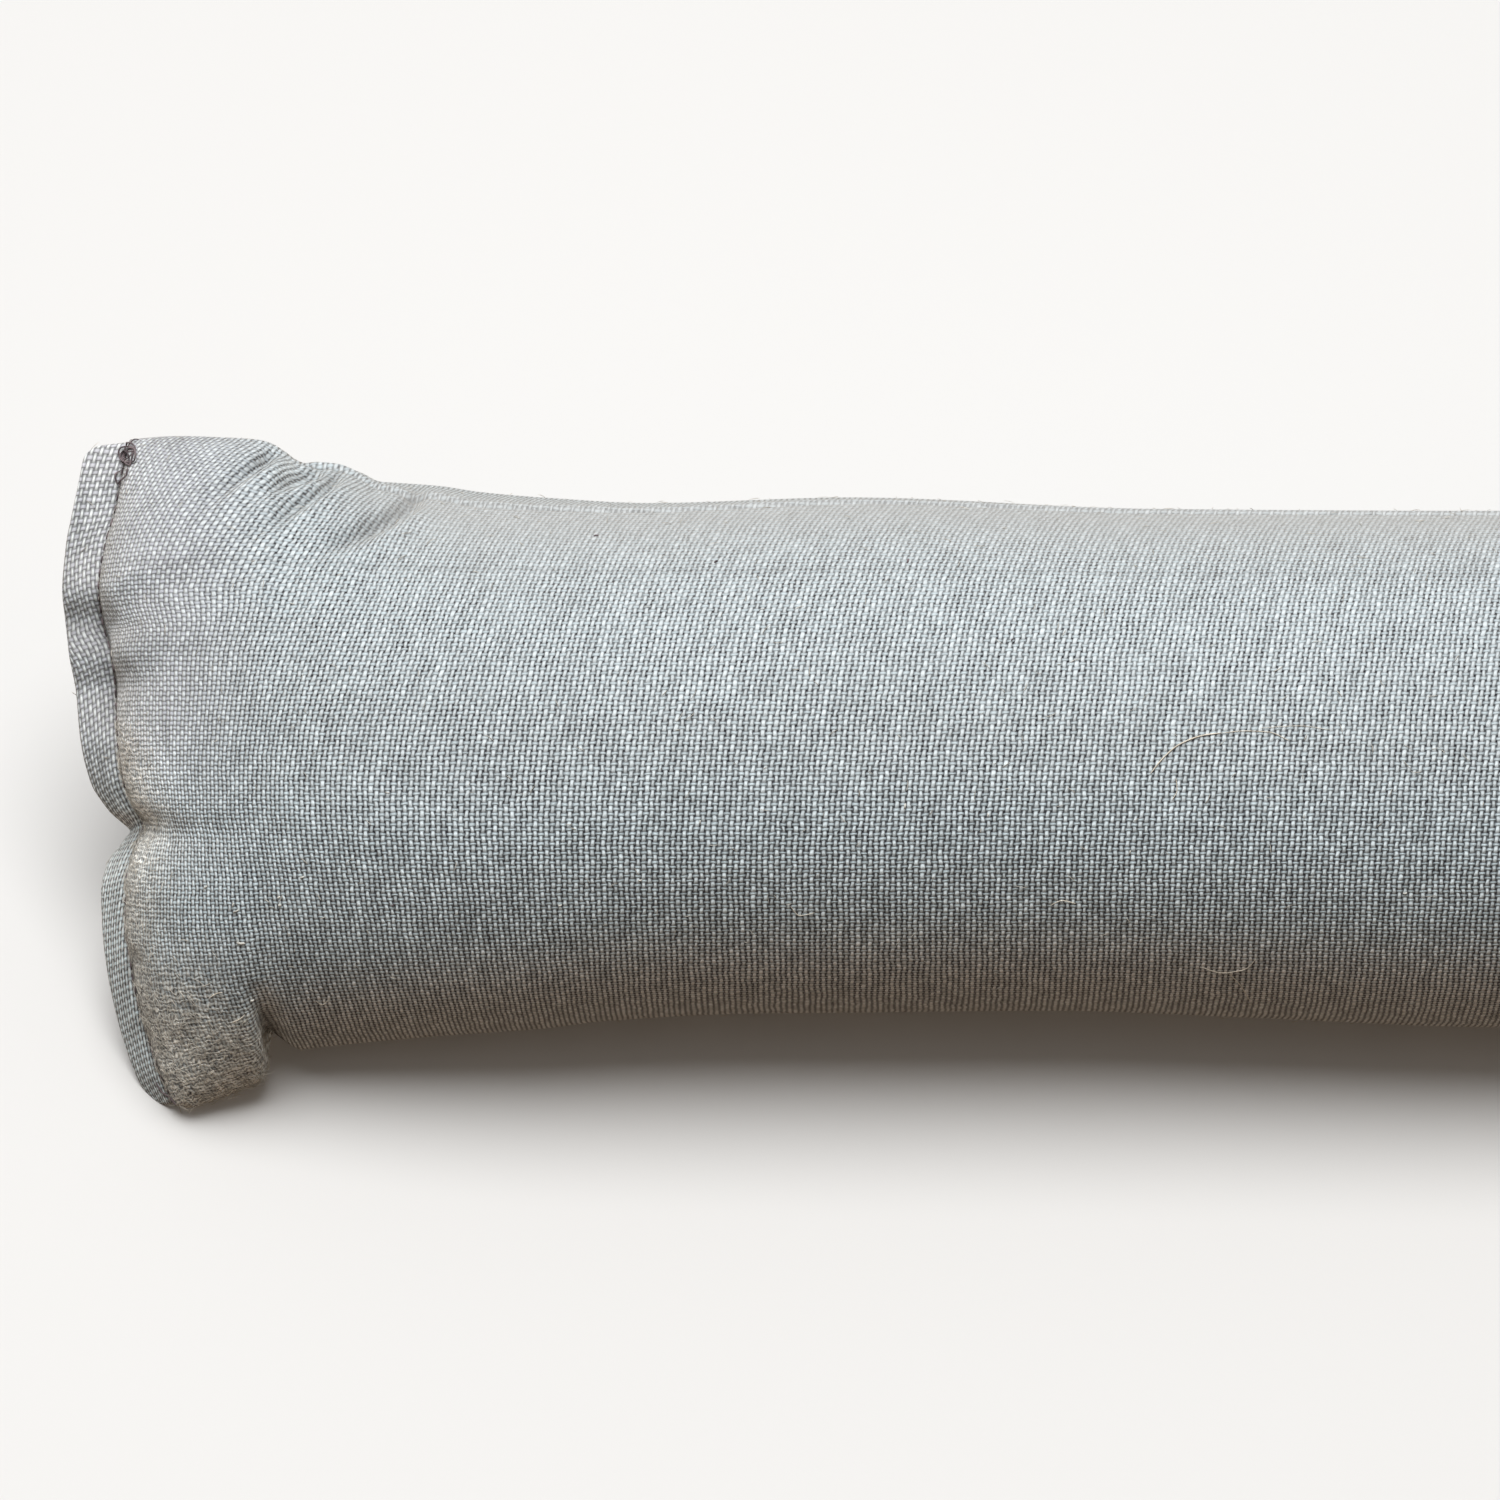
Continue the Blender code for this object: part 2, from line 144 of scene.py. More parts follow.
# The tube's outline seen square to the closures: rows of x from its left end and up
BACK_OUTLINE = in_metres([
    (10, 64.8), (23.6, 65.8), (33.6, 65.4), (39.6, 64.8), (43, 63.6), (45.6, 61.6), (48, 60.2),
    (55.6, 59.8), (60, 58.4), (63.6, 56.7), (67.6, 56.4), (75.6, 55.8), (83.6, 54.6), (97.6, 53.4),
    (117.6, 52.4), (157.6, 53.5), (217.6, 51.2), (287.6, 50.8), (380, 51.6), (470, 50.6),
    (560, 51.3), (660, 50.9), (740, 51.9), (800, 53.3), (830, 55.6), (844, 57.6), (852, 60.4),
    (858, 63.4), (866, 65), (878, 65.6), (890, 65),
])
FRONT_OUTLINE = in_metres([
    (18, -67), (23, -68.2), (25.6, -68.6), (28.6, -67.6), (32.6, -66.4), (36.6, -64.4),
    (40.2, -61.2), (43, -58.5), (48, -57), (55.6, -56), (75.6, -54.2), (97.6, -52.6),
    (107.6, -51.3), (137.6, -49.7), (157.6, -49.5), (197.6, -49.1), (237.6, -50.5), (287.6, -52.4),
    (380, -51.2), (470, -52.2), (560, -51.4), (660, -52.3), (740, -51.1), (800, -52.7),
    (828, -54.6), (846, -57.3), (856, -61.2), (864, -65.5), (874, -67.6), (884, -67.2),
])

# Each closure from its back corner to its front one. x counts from that end of the tube.
Closure = namedtuple("Closure", "stitch_x stitch_up edge_x edge_up out")
LEFT_CLOSURE = [Closure(*row) for row in in_metres([
    (13.6, 64.6, 4.6, 63.6, 0), (12.2, 57.4, 3.4, 57.2, 0.4), (10.8, 50.2, 1.8, 50, 0),
    (9, 44, 0.6, 43.8, 0), (7.8, 35, 0, 35, 1.2), (8.4, 28.6, 0.4, 28.6, -1.4),
    (10.4, 22.2, 1.4, 22, 1), (11, 15.5, 2.5, 15.5, -0.8), (11.6, 5, 3.6, 5, 0.4),
    (12.6, -3.4, 5.4, -3, -0.6), (14.4, -8, 8.8, -8.4, -1.4), (16.2, -12.4, 13.6, -13.6, -3.4),
    (15.4, -15.2, 11.8, -16.2, -2.2), (14.2, -19, 8.8, -20.6, -0.6), (13.2, -23.5, 7.8, -25.6, 0.6),
    (13, -31, 8, -33, 0), (14, -39, 8.9, -41, 0.4), (15.4, -47, 10.4, -49, 0),
    (17.4, -54, 12.2, -56, -0.4), (19.6, -61, 14.6, -62.6, 0.2), (22.6, -67.6, 18, -69, 0),
])]
RIGHT_CLOSURE = [Closure(*row) for row in in_metres([
    (14.2, 64.8, 5.6, 64, 0), (12.2, 54, 3.4, 54, 0.8), (10.4, 42, 1.6, 42, -1),
    (9.4, 30, 0.6, 30.2, 1.2), (9, 19, 0, 19, -0.6), (9.2, 8, 0.4, 8, -1.6), (10, -2, 1.2, -2.4, 1),
    (10.4, -13, 1.6, -13, 0.6), (10.4, -24, 2, -24.6, -1.4), (11, -35, 3.2, -36, 0.8),
    (12.4, -46, 4.8, -47, 0), (14.2, -57, 6.6, -58.4, 0.4), (16.6, -66.4, 8.8, -68, 0),
])]

# Creases on the side that faces out: from a deep start to where each dies away
Crease = namedtuple("Crease", "x0 up0 x1 up1 bow width depth ridge under")
CREASES = [Crease(*row) for row in in_metres([
    (43.2, 62.8, 27, 49, 0, 1.5, 2.6, 1, 0), (52, 59, 37, 51.5, 0, 1.4, 2.4, 0.8, 0),
    (55.5, 57.2, 38, 43, 0, 1.5, 2.8, 1, 0), (71.4, 52.6, 49, 40, 1, 2, 3.8, 1.5, 0),
    (43.6, -63, 40, -42.2, -1.4, 2.4, 5.6, 1.4, 12), (43.4, -61, 40.4, -47, -0.6, 1, 3, 0.6, 12),
    (16.2, -13, 28, -11, 0, 3.6, 1.2, 0, 0), (9, 28.2, 21.5, 26.2, 0, 2.8, 1.4, 0.4, 0),
    (11, 16, 24, 17.5, 0, 2.8, 1, 0.3, 0), (15, -37, 19.5, -54, 0, 2.2, 1, 0, 0),
    (170, 12, 80, -32, 0, 7, 0.6, 0, 0), (856, 62, 866, 50, 0, 2.8, 2.8, 0.8, 0),
    (840, 57, 856, 44, 0, 2.8, 2.4, 0.8, 0), (824, 55, 844, 43, 0, 3, 3, 1, 0),
    (856, -63, 860, -44, 1.2, 3, 5.2, 1.2, 10), (889.6, 10, 874, 9, 0, 3.6, 1.6, 0, 0),
])]
CREASE_START = 0.12
CREASE_TAIL = 1.2
RIDGE_WIDTHS = 1.9
CREASE_FADE = 0.006
SHARP_WIDTH = 0.0023

# The long seam: rows of x from the left end, and how far round from the back edge it lies
# on the side that faces out
SEAM = in_metres([
    (0, -8), (20, -5.5), (36, -2.8), (46, -0.4), (56, 4), (66, 8.6), (74, 12), (86, 14.6),
    (128, 13.8), (188, 12.6), (288, 11.6), (500, 10), (700, 11.2), (820, 12.4), (850, 8),
    (886, 0.2), (900, 0),
])

# How far round from the long seam the haze of fibres and its painted sheen reach
HAZE_AND_SHEEN_REACH = 0.020
HAZE_AND_SHEEN_REACH_BEHIND = 0.009

# How far in from the stitches the cloth is rubbed
WORN_REACH = 0.0065

# The seam's groove, its rolled back edge and its front one: height, place past it and width
Ridge = namedtuple("Ridge", "height past width")
SEAM_GROOVE = Ridge(-0.0006, 0.0, 0.0006)
SEAM_BACK_EDGE = Ridge(0.0006, 0.0016, 0.0012)
SEAM_FRONT_EDGE = Ridge(0.00022, -0.0018, 0.0014)
PUCKER_RISE = 0.0005
PUCKER_PITCH = 0.0105
PUCKER_REACH = 0.060

# Places beside the left stitches painted paler or darker than the rest, as painted light and shade
Place = namedtuple("Place", "x up wide high gain")
PAINTED_LIGHT_PLACES = [Place(*row) for row in (
    (0.047, -0.041, 0.012, 0.006, -0.13),
    (0.015, -0.003, 0.011, 0.011, 0.52),
    (0.013, 0.038, 0.006, 0.004, 0.14),
    (0.013, 0.057, 0.006, 0.007, 0.18),
    (0.014, -0.018, 0.006, 0.007, 0.28),
)]
STITCH_LINE_WIDTH = 0.0006

# The narrow fold over the notch under the left end, darkened with painted shade, as x and up of its two
# ends
NOTCH_FOLD = [(0.0434, -0.0560), (0.0408, -0.0475)]
NOTCH_FOLD_WIDTH = 0.0012

# Rows of up and the left strip's painted light and shade there, and of up and how dark the painted shade
# along its stitches is
STRIP_PAINTED_LIGHT = [
    (-0.0700, 1.00), (-0.0450, 0.97), (-0.0300, 1.10), (-0.0150, 1.10), (0.0030, 1.10),
    (0.0150, 1.02), (0.0220, 0.86), (0.0290, 0.71), (0.0340, 0.95), (0.0390, 1.10),
    (0.0500, 1.18), (0.0660, 1.24),
]
STITCH_SHADE = [
    (-0.0700, 0.35), (0.0000, 0.30), (0.0120, 0.45), (0.0180, 0.75), (0.0235, 0.35),
    (0.0280, 0.80), (0.0340, 0.80), (0.0380, 0.35), (0.0660, 0.15),
]

# The photograph's frame: its side in pixels, the size of one on the closures' plane, and
# the pixels where the tube's x and up are zero
PHOTO_SIDE = 1500
PIXEL = 0.0002
PIXEL_X0 = 62
PIXEL_UP0 = 765
CAMERA_DISTANCE = 1.2
SENSOR = 36.0


def smooth_steps(t):
    """0 to 1 with level ends."""
    t = np.clip(t, 0.0, 1.0)
    return t * t * (3.0 - 2.0 * t)


def curve_through(xs, ys, at):
    """A smooth curve through a table's points that never overshoots them."""
    xs, ys = np.asarray(xs, float), np.asarray(ys, float)
    step = np.diff(xs)
    rise = np.diff(ys) / step
    slope = np.zeros(len(xs))
    slope[0], slope[-1] = rise[0], rise[-1]
    inner = rise[:-1] * rise[1:] > 0
    mean = 2.0 * rise[:-1] * rise[1:] / np.where(inner, rise[:-1] + rise[1:], 1.0)
    slope[1:-1] = np.where(inner, mean, 0.0)
    at = np.clip(at, xs[0], xs[-1])
    i = np.clip(np.searchsorted(xs, at) - 1, 0, len(step) - 1)
    t = (at - xs[i]) / step[i]
    h = step[i]
    start = (1 + 2 * t) * (1 - t) ** 2 * ys[i] + t * (1 - t) ** 2 * h * slope[i]
    end = t * t * (3 - 2 * t) * ys[i + 1] - t * t * (1 - t) * h * slope[i + 1]
    return start + end


def along_table(rows, at):
    """A two-column table read at some x."""
    table = np.array(rows)
    return curve_through(table[:, 0], table[:, 1], at)


def blended(values, share):
    """Values along a closure, each blended with those around it over this share of the way."""
    reach = round(3.0 * share * FINE_STEPS)
    weight = np.exp(-0.5 * (np.arange(-reach, reach + 1) / (share * FINE_STEPS)) ** 2)
    return np.convolve(np.pad(values, reach, mode="edge"), weight / weight.sum(), mode="valid")


def closure_lines(rows):
    """Fine lines along one closure: its share of the way, its stitches and its edge."""
    table = np.array(rows)
    along = np.hypot(np.diff(table[:, 0]), np.diff(table[:, 1]))
    share = np.concatenate([[0.0], np.cumsum(along)])
    share /= share[-1]
    v = np.linspace(0.0, 1.0, FINE_STEPS + 1)
    columns = [curve_through(share, table[:, c], v) for c in range(table.shape[1])]
    stitch = np.column_stack([columns[0], columns[1], columns[4]])
    seen = np.hypot(columns[2] - columns[0], columns[3] - columns[1])
    bent_back = blended(np.sqrt(np.maximum(STRIP_WIDTH**2 - seen**2, 0.0)), BEND_BLEND)
    edge = np.column_stack([columns[2], columns[3], columns[4] - bent_back])
    return v, stitch, edge


def spaced(line, count, density):
    """The same line with fewer points, closer together where density is high."""
    piece = np.linalg.norm(np.diff(line, axis=0), axis=1)
    piece *= (density[1:] + density[:-1]) / 2.0
    length = np.concatenate([[0.0], np.cumsum(piece)])
    at = np.linspace(0.0, length[-1], count + 1)
    return np.column_stack([np.interp(at, length, line[:, c]) for c in range(3)])


def ring_from(top, bottom):
    """One ring of points from the cloth that faces out and the cloth that faces in."""
    v = np.linspace(0.0, 1.0, FINE_STEPS + 1)
    bumps = [d.gain * np.exp(-(((v - d.share) / d.width) ** 2)) for d in DENSE_PLACES]
    density = 1.0 + sum(bumps)
    top = spaced(top, TOP_STEPS, density)
    bottom = spaced(bottom, BOTTOM_STEPS, density)
    return np.vstack([top, bottom[-2:0:-1]])


def strip_ring(lines, share_out, thickness_share):
    """A ring of the flat strip, at a share of its width out from the stitches."""
    v, stitch, edge = lines
    length = np.linalg.norm(np.diff(stitch, axis=0), axis=1).sum()
    to_corner = np.minimum(v, 1.0 - v) * length
    inside = np.clip(STRIP_CORNER_RADIUS - to_corner, 0.0, STRIP_CORNER_RADIUS)
    cut = STRIP_CORNER_RADIUS - np.sqrt(STRIP_CORNER_RADIUS**2 - inside**2)
    reach = share_out * (1.0 - cut / STRIP_WIDTH)
    middle = stitch + (edge - stitch) * reach[:, None]
    across = np.cross(edge - stitch, np.gradient(stitch, axis=0))
    across /= np.linalg.norm(across, axis=1)[:, None]
    turned = smooth_steps(share_out / STRIP_TURN)
    across = turned * across + (1.0 - turned) * np.array([0.0, 0.0, 1.0])
    across /= np.linalg.norm(across, axis=1)[:, None]
    half = STRIP_HALF_THICKNESS * thickness_share * np.sin(math.pi * v) ** STRIP_EDGE_POWER
    bent = np.clip((stitch[:, 2] - edge[:, 2]) / STRIP_WIDTH, 0.0, 1.0)
    squeezed = half * (1.0 - STRIP_SQUEEZE * bent**4)
    return ring_from(middle + across * half[:, None], middle - across * squeezed[:, None])


def tube_ring(lines, from_left, distance):
    """A ring of the filled tube, at a distance in from the stitches."""
    v, stitch, _ = lines
    mean_x = stitch[:, 0].mean()
    straight = smooth_steps(distance / STRAIGHTEN_DEPTH)
    overhang = OVERHANG * (distance / OVERHANG_DEPTH) * math.exp(1.0 - distance / OVERHANG_DEPTH)
    x = stitch[:, 0] + distance + (mean_x - stitch[:, 0]) * straight
    half_sine = np.sin(math.pi * v)
    x = x - overhang * half_sine**OVERHANG_EDGE_POWER
    on_tube = x if from_left else LENGTH - x
    back, front = along_table(BACK_OUTLINE, on_tube), along_table(FRONT_OUTLINE, on_tube)
    middle, half_width = (back + front) / 2.0, (back - front) / 2.0
    closure_back, closure_front = stitch[0, 1], stitch[-1, 1]
    closure_share = 2.0 * (stitch[:, 1] - closure_front) / (closure_back - closure_front) - 1.0
    roundness = 1.0 - math.exp(-distance / ROUNDING_DEPTH)
    up = middle + half_width * (
        (1.0 - roundness) * closure_share + roundness * np.cos(math.pi * v)
    )
    wave = stitch[:, 2] * math.exp(-((distance / WAVE_DEPTH) ** WAVE_FADE_POWER))
    lead = (stitch[:, 0] - blended(stitch[:, 0], LEAD_BLEND)) * half_sine
    depth = distance + lead * (1.0 - math.exp(-distance / LEAD_DEPTH))
    filled = np.sqrt(1.0 - np.exp(-depth / CROWN_DEPTH))
    edge_power = 1.0 - (1.0 - EDGE_POWER_AT_STITCHES) * math.exp(-distance / FULL_EDGE_DEPTH)
    swell = (RADIUS * filled + STITCH_HALF_THICKNESS) * half_sine**edge_power
    top = np.column_stack([x, up, wave + swell])
    bottom = np.column_stack([x, up, wave - swell])
    return ring_from(top, bottom)


def ring_distances(spans):
    """Distances from the stitches of one end's rings."""
    distances = [0.0]
    for span in spans:
        start = distances[-1]
        count = round((span.end - start) / span.step)
        distances += [start + (span.end - start) * (i + 1) / count for i in range(count)]
    return distances


def end_rings(rows, spans, from_left):
    """All rings of one end, from its outer fold to near the tube's middle."""
    lines = closure_lines(rows)
    rings = [strip_ring(lines, ring.out, ring.thickness) for ring in STRIP_RINGS]
    rings += [tube_ring(lines, from_left, distance) for distance in ring_distances(spans)]
    rings = np.array(rings)
    if not from_left:
        rings[:, :, 0] = LENGTH - rings[:, :, 0]
    return rings


def crease_offset(points, creases):
    """How far some creases push each point out, negative in a valley."""
    x, up, out = points[..., 0], points[..., 1], points[..., 2]
    total = np.zeros(x.shape)
    for c in creases:
        length = math.hypot(c.x1 - c.x0, c.up1 - c.up0)
        along = np.array([c.x1 - c.x0, c.up1 - c.up0]) / length
        t = ((x - c.x0) * along[0] + (up - c.up0) * along[1]) / length
        side = (up - c.up0) * along[0] - (x - c.x0) * along[1]
        side = side - 4.0 * c.bow * t * (1.0 - t)
        fade = smooth_steps((t + CREASE_START) / (2.0 * CREASE_START))
        fade = fade * (1.0 - np.clip(t, 0.0, 1.0)) ** CREASE_TAIL
        valley = c.depth * np.exp(-((side / c.width) ** 2))
        ridge = c.ridge * np.exp(-((side / c.width - RIDGE_WIDTHS) ** 2))
        total += fade * (ridge - valley) * smooth_steps((out + c.under) / CREASE_FADE)
    return total


def grid_normals(grid):
    """Outward normals of a grid of rings."""
    around = np.roll(grid, -1, axis=1) - np.roll(grid, 1, axis=1)
    along = np.gradient(grid, axis=0)
    normal = np.cross(around, along)
    return normal / np.maximum(np.linalg.norm(normal, axis=2), 1e-12)[:, :, None]


def laid_on_floor(points):
    """Points turned into the way the tube lies, with the floor pressing them flat."""
    x, up, out = points[..., 0], points[..., 1], points[..., 2]
    y = up * math.cos(CLOSURE_TILT) - out * math.sin(CLOSURE_TILT) + AXIS_Y
    z = up * math.sin(CLOSURE_TILT) + out * math.cos(CLOSURE_TILT) + AXIS_HEIGHT
    pressed = np.where(z < FLOOR_BLEND, (z + FLOOR_BLEND) ** 2 / (4.0 * FLOOR_BLEND), z)
    pressed = np.where(z < -FLOOR_BLEND, 0.0, pressed)
    return np.stack([x - LENGTH / 2.0, y, pressed], axis=-1)


# The direction of a painted key light, towards up, in closure coordinates: cloth that faces it is
# painted lit and smooth, cloth that faces away is painted in shade
PAINTED_LIGHT_DIRECTION = np.array([0.0, 0.94, 0.34])


# The cloth tube

def rings_round(rings):
    """Distance round each ring, from the middle of the side that faces out, up positive.
    Column 0 is the middle of the cloth that faces in, and it comes back as the last one."""
    split = TOP_STEPS + BOTTOM_STEPS // 2
    rolled = np.roll(rings, -split, axis=1)
    closed = np.concatenate([rolled, rolled[:, :1]], axis=1)
    step = np.linalg.norm(np.diff(closed, axis=1), axis=2)
    walked = np.concatenate([np.zeros((len(rings), 1)), np.cumsum(step, axis=1)], axis=1)
    back_column = RING_SIZE - split
    front_column = back_column + TOP_STEPS
    half = (walked[:, front_column] - walked[:, back_column]) / 2.0
    middle = walked[:, back_column] + half
    return rolled, middle[:, None] - walked, half


def seam_relief(rings, round_up, half):
    """The groove and the rolled edges of the long seam, and its puckers near the ends."""
    x = rings[:, :, 0]
    past = round_up[:, :-1] - (half[:, None] - along_table(SEAM, x))
    from_end = np.minimum(x, LENGTH - x)
    waves = 0.5 + 0.5 * np.sin(x * 2.0 * math.pi / PUCKER_PITCH)
    pucker = PUCKER_RISE * np.exp(-from_end / PUCKER_REACH) * waves
    relief = 0.0
    for ridge, more in ((SEAM_GROOVE, 0.0), (SEAM_BACK_EDGE, pucker), (SEAM_FRONT_EDGE, 0.0)):
        relief = relief + (ridge.height + more) * np.exp(-(((past - ridge.past) / ridge.width) ** 2))
    return relief * smooth_steps((from_end - 0.012) / 0.010), past


def from_crest(rolled, round_up):
    """Distance round each ring from where its outer side crosses the closures' middle."""
    back = BOTTOM_STEPS - BOTTOM_STEPS // 2
    outer = slice(back, back + TOP_STEPS + 1)
    crest = [
        np.interp(0.0, ring[outer, 1][::-1], distance[outer][::-1])
        for ring, distance in zip(rolled, round_up)
    ]
    return round_up - np.array(crest)[:, None]


def tube_grid():
    """The tube's points, with column 0 under it, and the cloth's own coordinates there."""
    left = end_rings(LEFT_CLOSURE, LEFT_SPANS, True)
    right = end_rings(RIGHT_CLOSURE, RIGHT_SPANS, False)
    rings = np.concatenate([left, right[::-1]])
    rolled, round_up, half = rings_round(rings)
    relief, past_seam = seam_relief(rolled, round_up, half)
    offset = crease_offset(rolled, CREASES) + relief
    shaped = rolled + grid_normals(rolled) * offset[:, :, None]
    return shaped, rolled, from_crest(rolled, round_up), past_seam


def loft_faces(ring_count):
    """Quads between neighbouring rings, and a row of faces across each outermost ring."""
    faces = []
    for i in range(ring_count - 1):
        for j in range(RING_SIZE):
            k = (j + 1) % RING_SIZE
            a, b = i * RING_SIZE, (i + 1) * RING_SIZE
            faces.append((a + j, a + k, b + k, b + j))
    back_column = BOTTOM_STEPS - BOTTOM_STEPS // 2
    for first in (0, (ring_count - 1) * RING_SIZE):
        for j in range(TOP_STEPS):
            below = -(j // TOP_PER_BOTTOM)
            below_next = -((j + 1) // TOP_PER_BOTTOM)
            columns = [(back_column + c) % RING_SIZE for c in (j, j + 1, below_next, below)]
            corners = list(dict.fromkeys(columns))
            if first:
                corners.reverse()
            if len(corners) > 2:
                faces.append(tuple(first + c for c in corners))
    return faces


def end_counts(walked, x, first, round_up):
    """Distance along the cloth from one end, the same at all points of one thread. Close to
    the stitches the threads follow them, and in the tube's middle they run straight round."""
    stitch_x = x[first]
    along = stitch_x + walked - walked[first]
    total = (along - x)[len(x) // 2]
    middle = round_up[len(x) // 2]
    turn = 2.0 * math.pi * middle / (middle[0] - middle[-1])
    waves = np.column_stack([np.ones(len(turn)), np.cos(turn), np.sin(turn), np.cos(2.0 * turn)])
    even = waves @ np.linalg.lstsq(waves, total, rcond=None)[0]
    crest = even[np.argmin(np.abs(middle))]
    settled = smooth_steps((x - 0.012) / 0.045)
    near = 1.0 - smooth_steps((x - 0.015) / 0.115)
    follows = 1.0 - smooth_steps((x - 0.012) / 0.040)
    side = 1.0 - BOW_EASE * smooth_steps(np.abs(round_up) / 0.045)
    along = along - (total - even) * settled - even - (crest - even) * near * side
    return along - (stitch_x - stitch_x.mean()) * follows


def lean(round_up):
    """How far a thread that runs round the tube has drifted along it, at each place round."""
    curved = np.clip(round_up, LEAN_FROM, LEAN_TO)
    below = np.minimum(round_up - LEAN_FROM, 0.0) * (LEAN_SLOPE + 2.0 * LEAN_BEND * LEAN_FROM)
    behind = np.maximum(round_up - LEAN_TO, 0.0) * LEAN_BEHIND
    return LEAN_SLOPE * curved + LEAN_BEND * curved**2 + below + behind


def thread_counts(grid, round_up):
    """How many threads lie before each point: those that run round, and those that run along.
    The last column repeats the first one, with the other end's count."""
    closed = np.concatenate([grid, grid[:, :1]], axis=1)
    step = np.linalg.norm(np.diff(closed, axis=0), axis=2)
    x = closed[:, :, 0]
    from_end = np.minimum(x, LENGTH - x)[:-1]
    step *= 1.0 + GATHER * (1.0 - smooth_steps((from_end - 0.020) / 0.045))
    walked = np.concatenate([np.zeros((1, RING_SIZE + 1)), np.cumsum(step, axis=0)])
    first = len(STRIP_RINGS)
    round_up = round_up.copy()
    round_up[:first] = round_up[first]
    round_up[len(grid) - first:] = round_up[len(grid) - 1 - first]
    left = end_counts(walked, x, first, round_up)
    right = end_counts((walked[-1] - walked)[::-1], (LENGTH - x)[::-1], first, round_up[::-1])
    along = np.where(x < LENGTH / 2.0, left, LENGTH - right[::-1])
    from_end = np.minimum(x, LENGTH - x)
    ease = 1.0 - (1.0 - END_LEAN) * (1.0 - smooth_steps((from_end - 0.020) / 0.045))
    rows = (COUNT_START + round_up) / THREAD_ALONG
    rows[:first] *= STRIP_ROWS
    rows[len(grid) - first:] *= STRIP_ROWS
    return (along - lean(round_up) * ease) / THREAD_ROUND, rows


def mesh_from(name, points, faces):
    """A mesh object from arrays of points and faces."""
    data = bpy.data.meshes.new(name)
    data.from_pydata([tuple(p) for p in points], [], faces)
    data.update()
    thing = bpy.data.objects.new(name, data)
    bpy.context.scene.collection.objects.link(thing)
    data.shade_smooth()
    return thing


def face_corner_columns(mesh):
    """For each face corner its ring and column, the column past the last one at the wrap."""
    vertex = np.zeros(len(mesh.loops), int)
    mesh.loops.foreach_get("vertex_index", vertex)
    ring, column = vertex // RING_SIZE, vertex % RING_SIZE
    totals = np.zeros(len(mesh.polygons), int)
    mesh.polygons.foreach_get("loop_total", totals)
    face = np.repeat(np.arange(len(totals)), totals)
    highest = np.zeros(len(totals), int)
    np.maximum.at(highest, face, column)
    wraps = (highest[face] > RING_SIZE * 3 // 4) & (column < RING_SIZE // 4)
    return ring, np.where(wraps, RING_SIZE, column)


def set_values(mesh, name, values):
    """A value for each point of the mesh, for its material."""
    made = mesh.attributes.new(name, "FLOAT", "POINT")
    made.data.foreach_set("value", np.asarray(values, np.float32).ravel())


def on_strip(grid):
    """1 on the flat strips outside the stitches, 0 elsewhere."""
    strip = np.zeros(grid.shape[:2])
    strip[:len(STRIP_RINGS)] = 1.0
    strip[-len(STRIP_RINGS):] = 1.0
    return strip


def left_stitch_x(up):
    """Where the left line of stitches lies along the tube, at each up."""
    return along_table([(c.stitch_up, c.stitch_x) for c in LEFT_CLOSURE[::-1]], up)


def painted_light_tone(grid):
    """Painted light and shade of the left end: how much paler or darker than the rest each place is
    painted, with painted shade in the notch's fold, on the strip and along the stitches.
    """
    x, up = grid[..., 0], grid[..., 1]
    ear = smooth_steps((-0.034 - up) / 0.008) * smooth_steps((0.044 - x) / 0.008)
    tone = 1.0 - 0.21 * ear * (1.0 - smooth_steps((-0.046 - up) / 0.008))
    tone += 0.09 * smooth_steps((-0.054 - up) / 0.006)
    tone += 0.06 * smooth_steps((up - 0.052) / 0.008) * np.exp(-(((x - 0.046) / 0.012) ** 2))
    for p in PAINTED_LIGHT_PLACES:
        tone += p.gain * np.exp(-(((x - p.x) / p.wide) ** 2) - ((up - p.up) / p.high) ** 2)
    tone *= 1.0 - notch_shade(grid)
    left = slice(0, len(STRIP_RINGS))
    tone[left] = along_table(STRIP_PAINTED_LIGHT, up[left])
    line = np.exp(-(((x - left_stitch_x(up)) / STITCH_LINE_WIDTH) ** 2)) * (grid[..., 2] > -0.003)
    return tone * (1.0 - line * along_table(STITCH_SHADE, up))


def notch_shade(grid):
    """How dark the painted shade is in the narrow fold that runs up from the notch under the left end.
    """
    x, up = grid[..., 0], grid[..., 1]
    (x0, up0), (x1, up1) = NOTCH_FOLD
    way = np.array([x1 - x0, up1 - up0])
    t = np.clip(((x - x0) * way[0] + (up - up0) * way[1]) / way.dot(way), 0.0, 1.0)
    away = np.hypot(x - x0 - way[0] * t, up - up0 - way[1] * t)
    return 0.8 * (1.0 - 0.6 * t) * np.exp(-((away / NOTCH_FOLD_WIDTH) ** 2)) * (grid[..., 2] > -0.004)


def near_left_end(grid):
    """Where the threads of the left end lie loose, from 0 to 1."""
    x, up = grid[..., 0], grid[..., 1]
    return (1.0 - smooth_steps((x - 0.020) / 0.030)) * smooth_steps((up + 0.020) / 0.030)


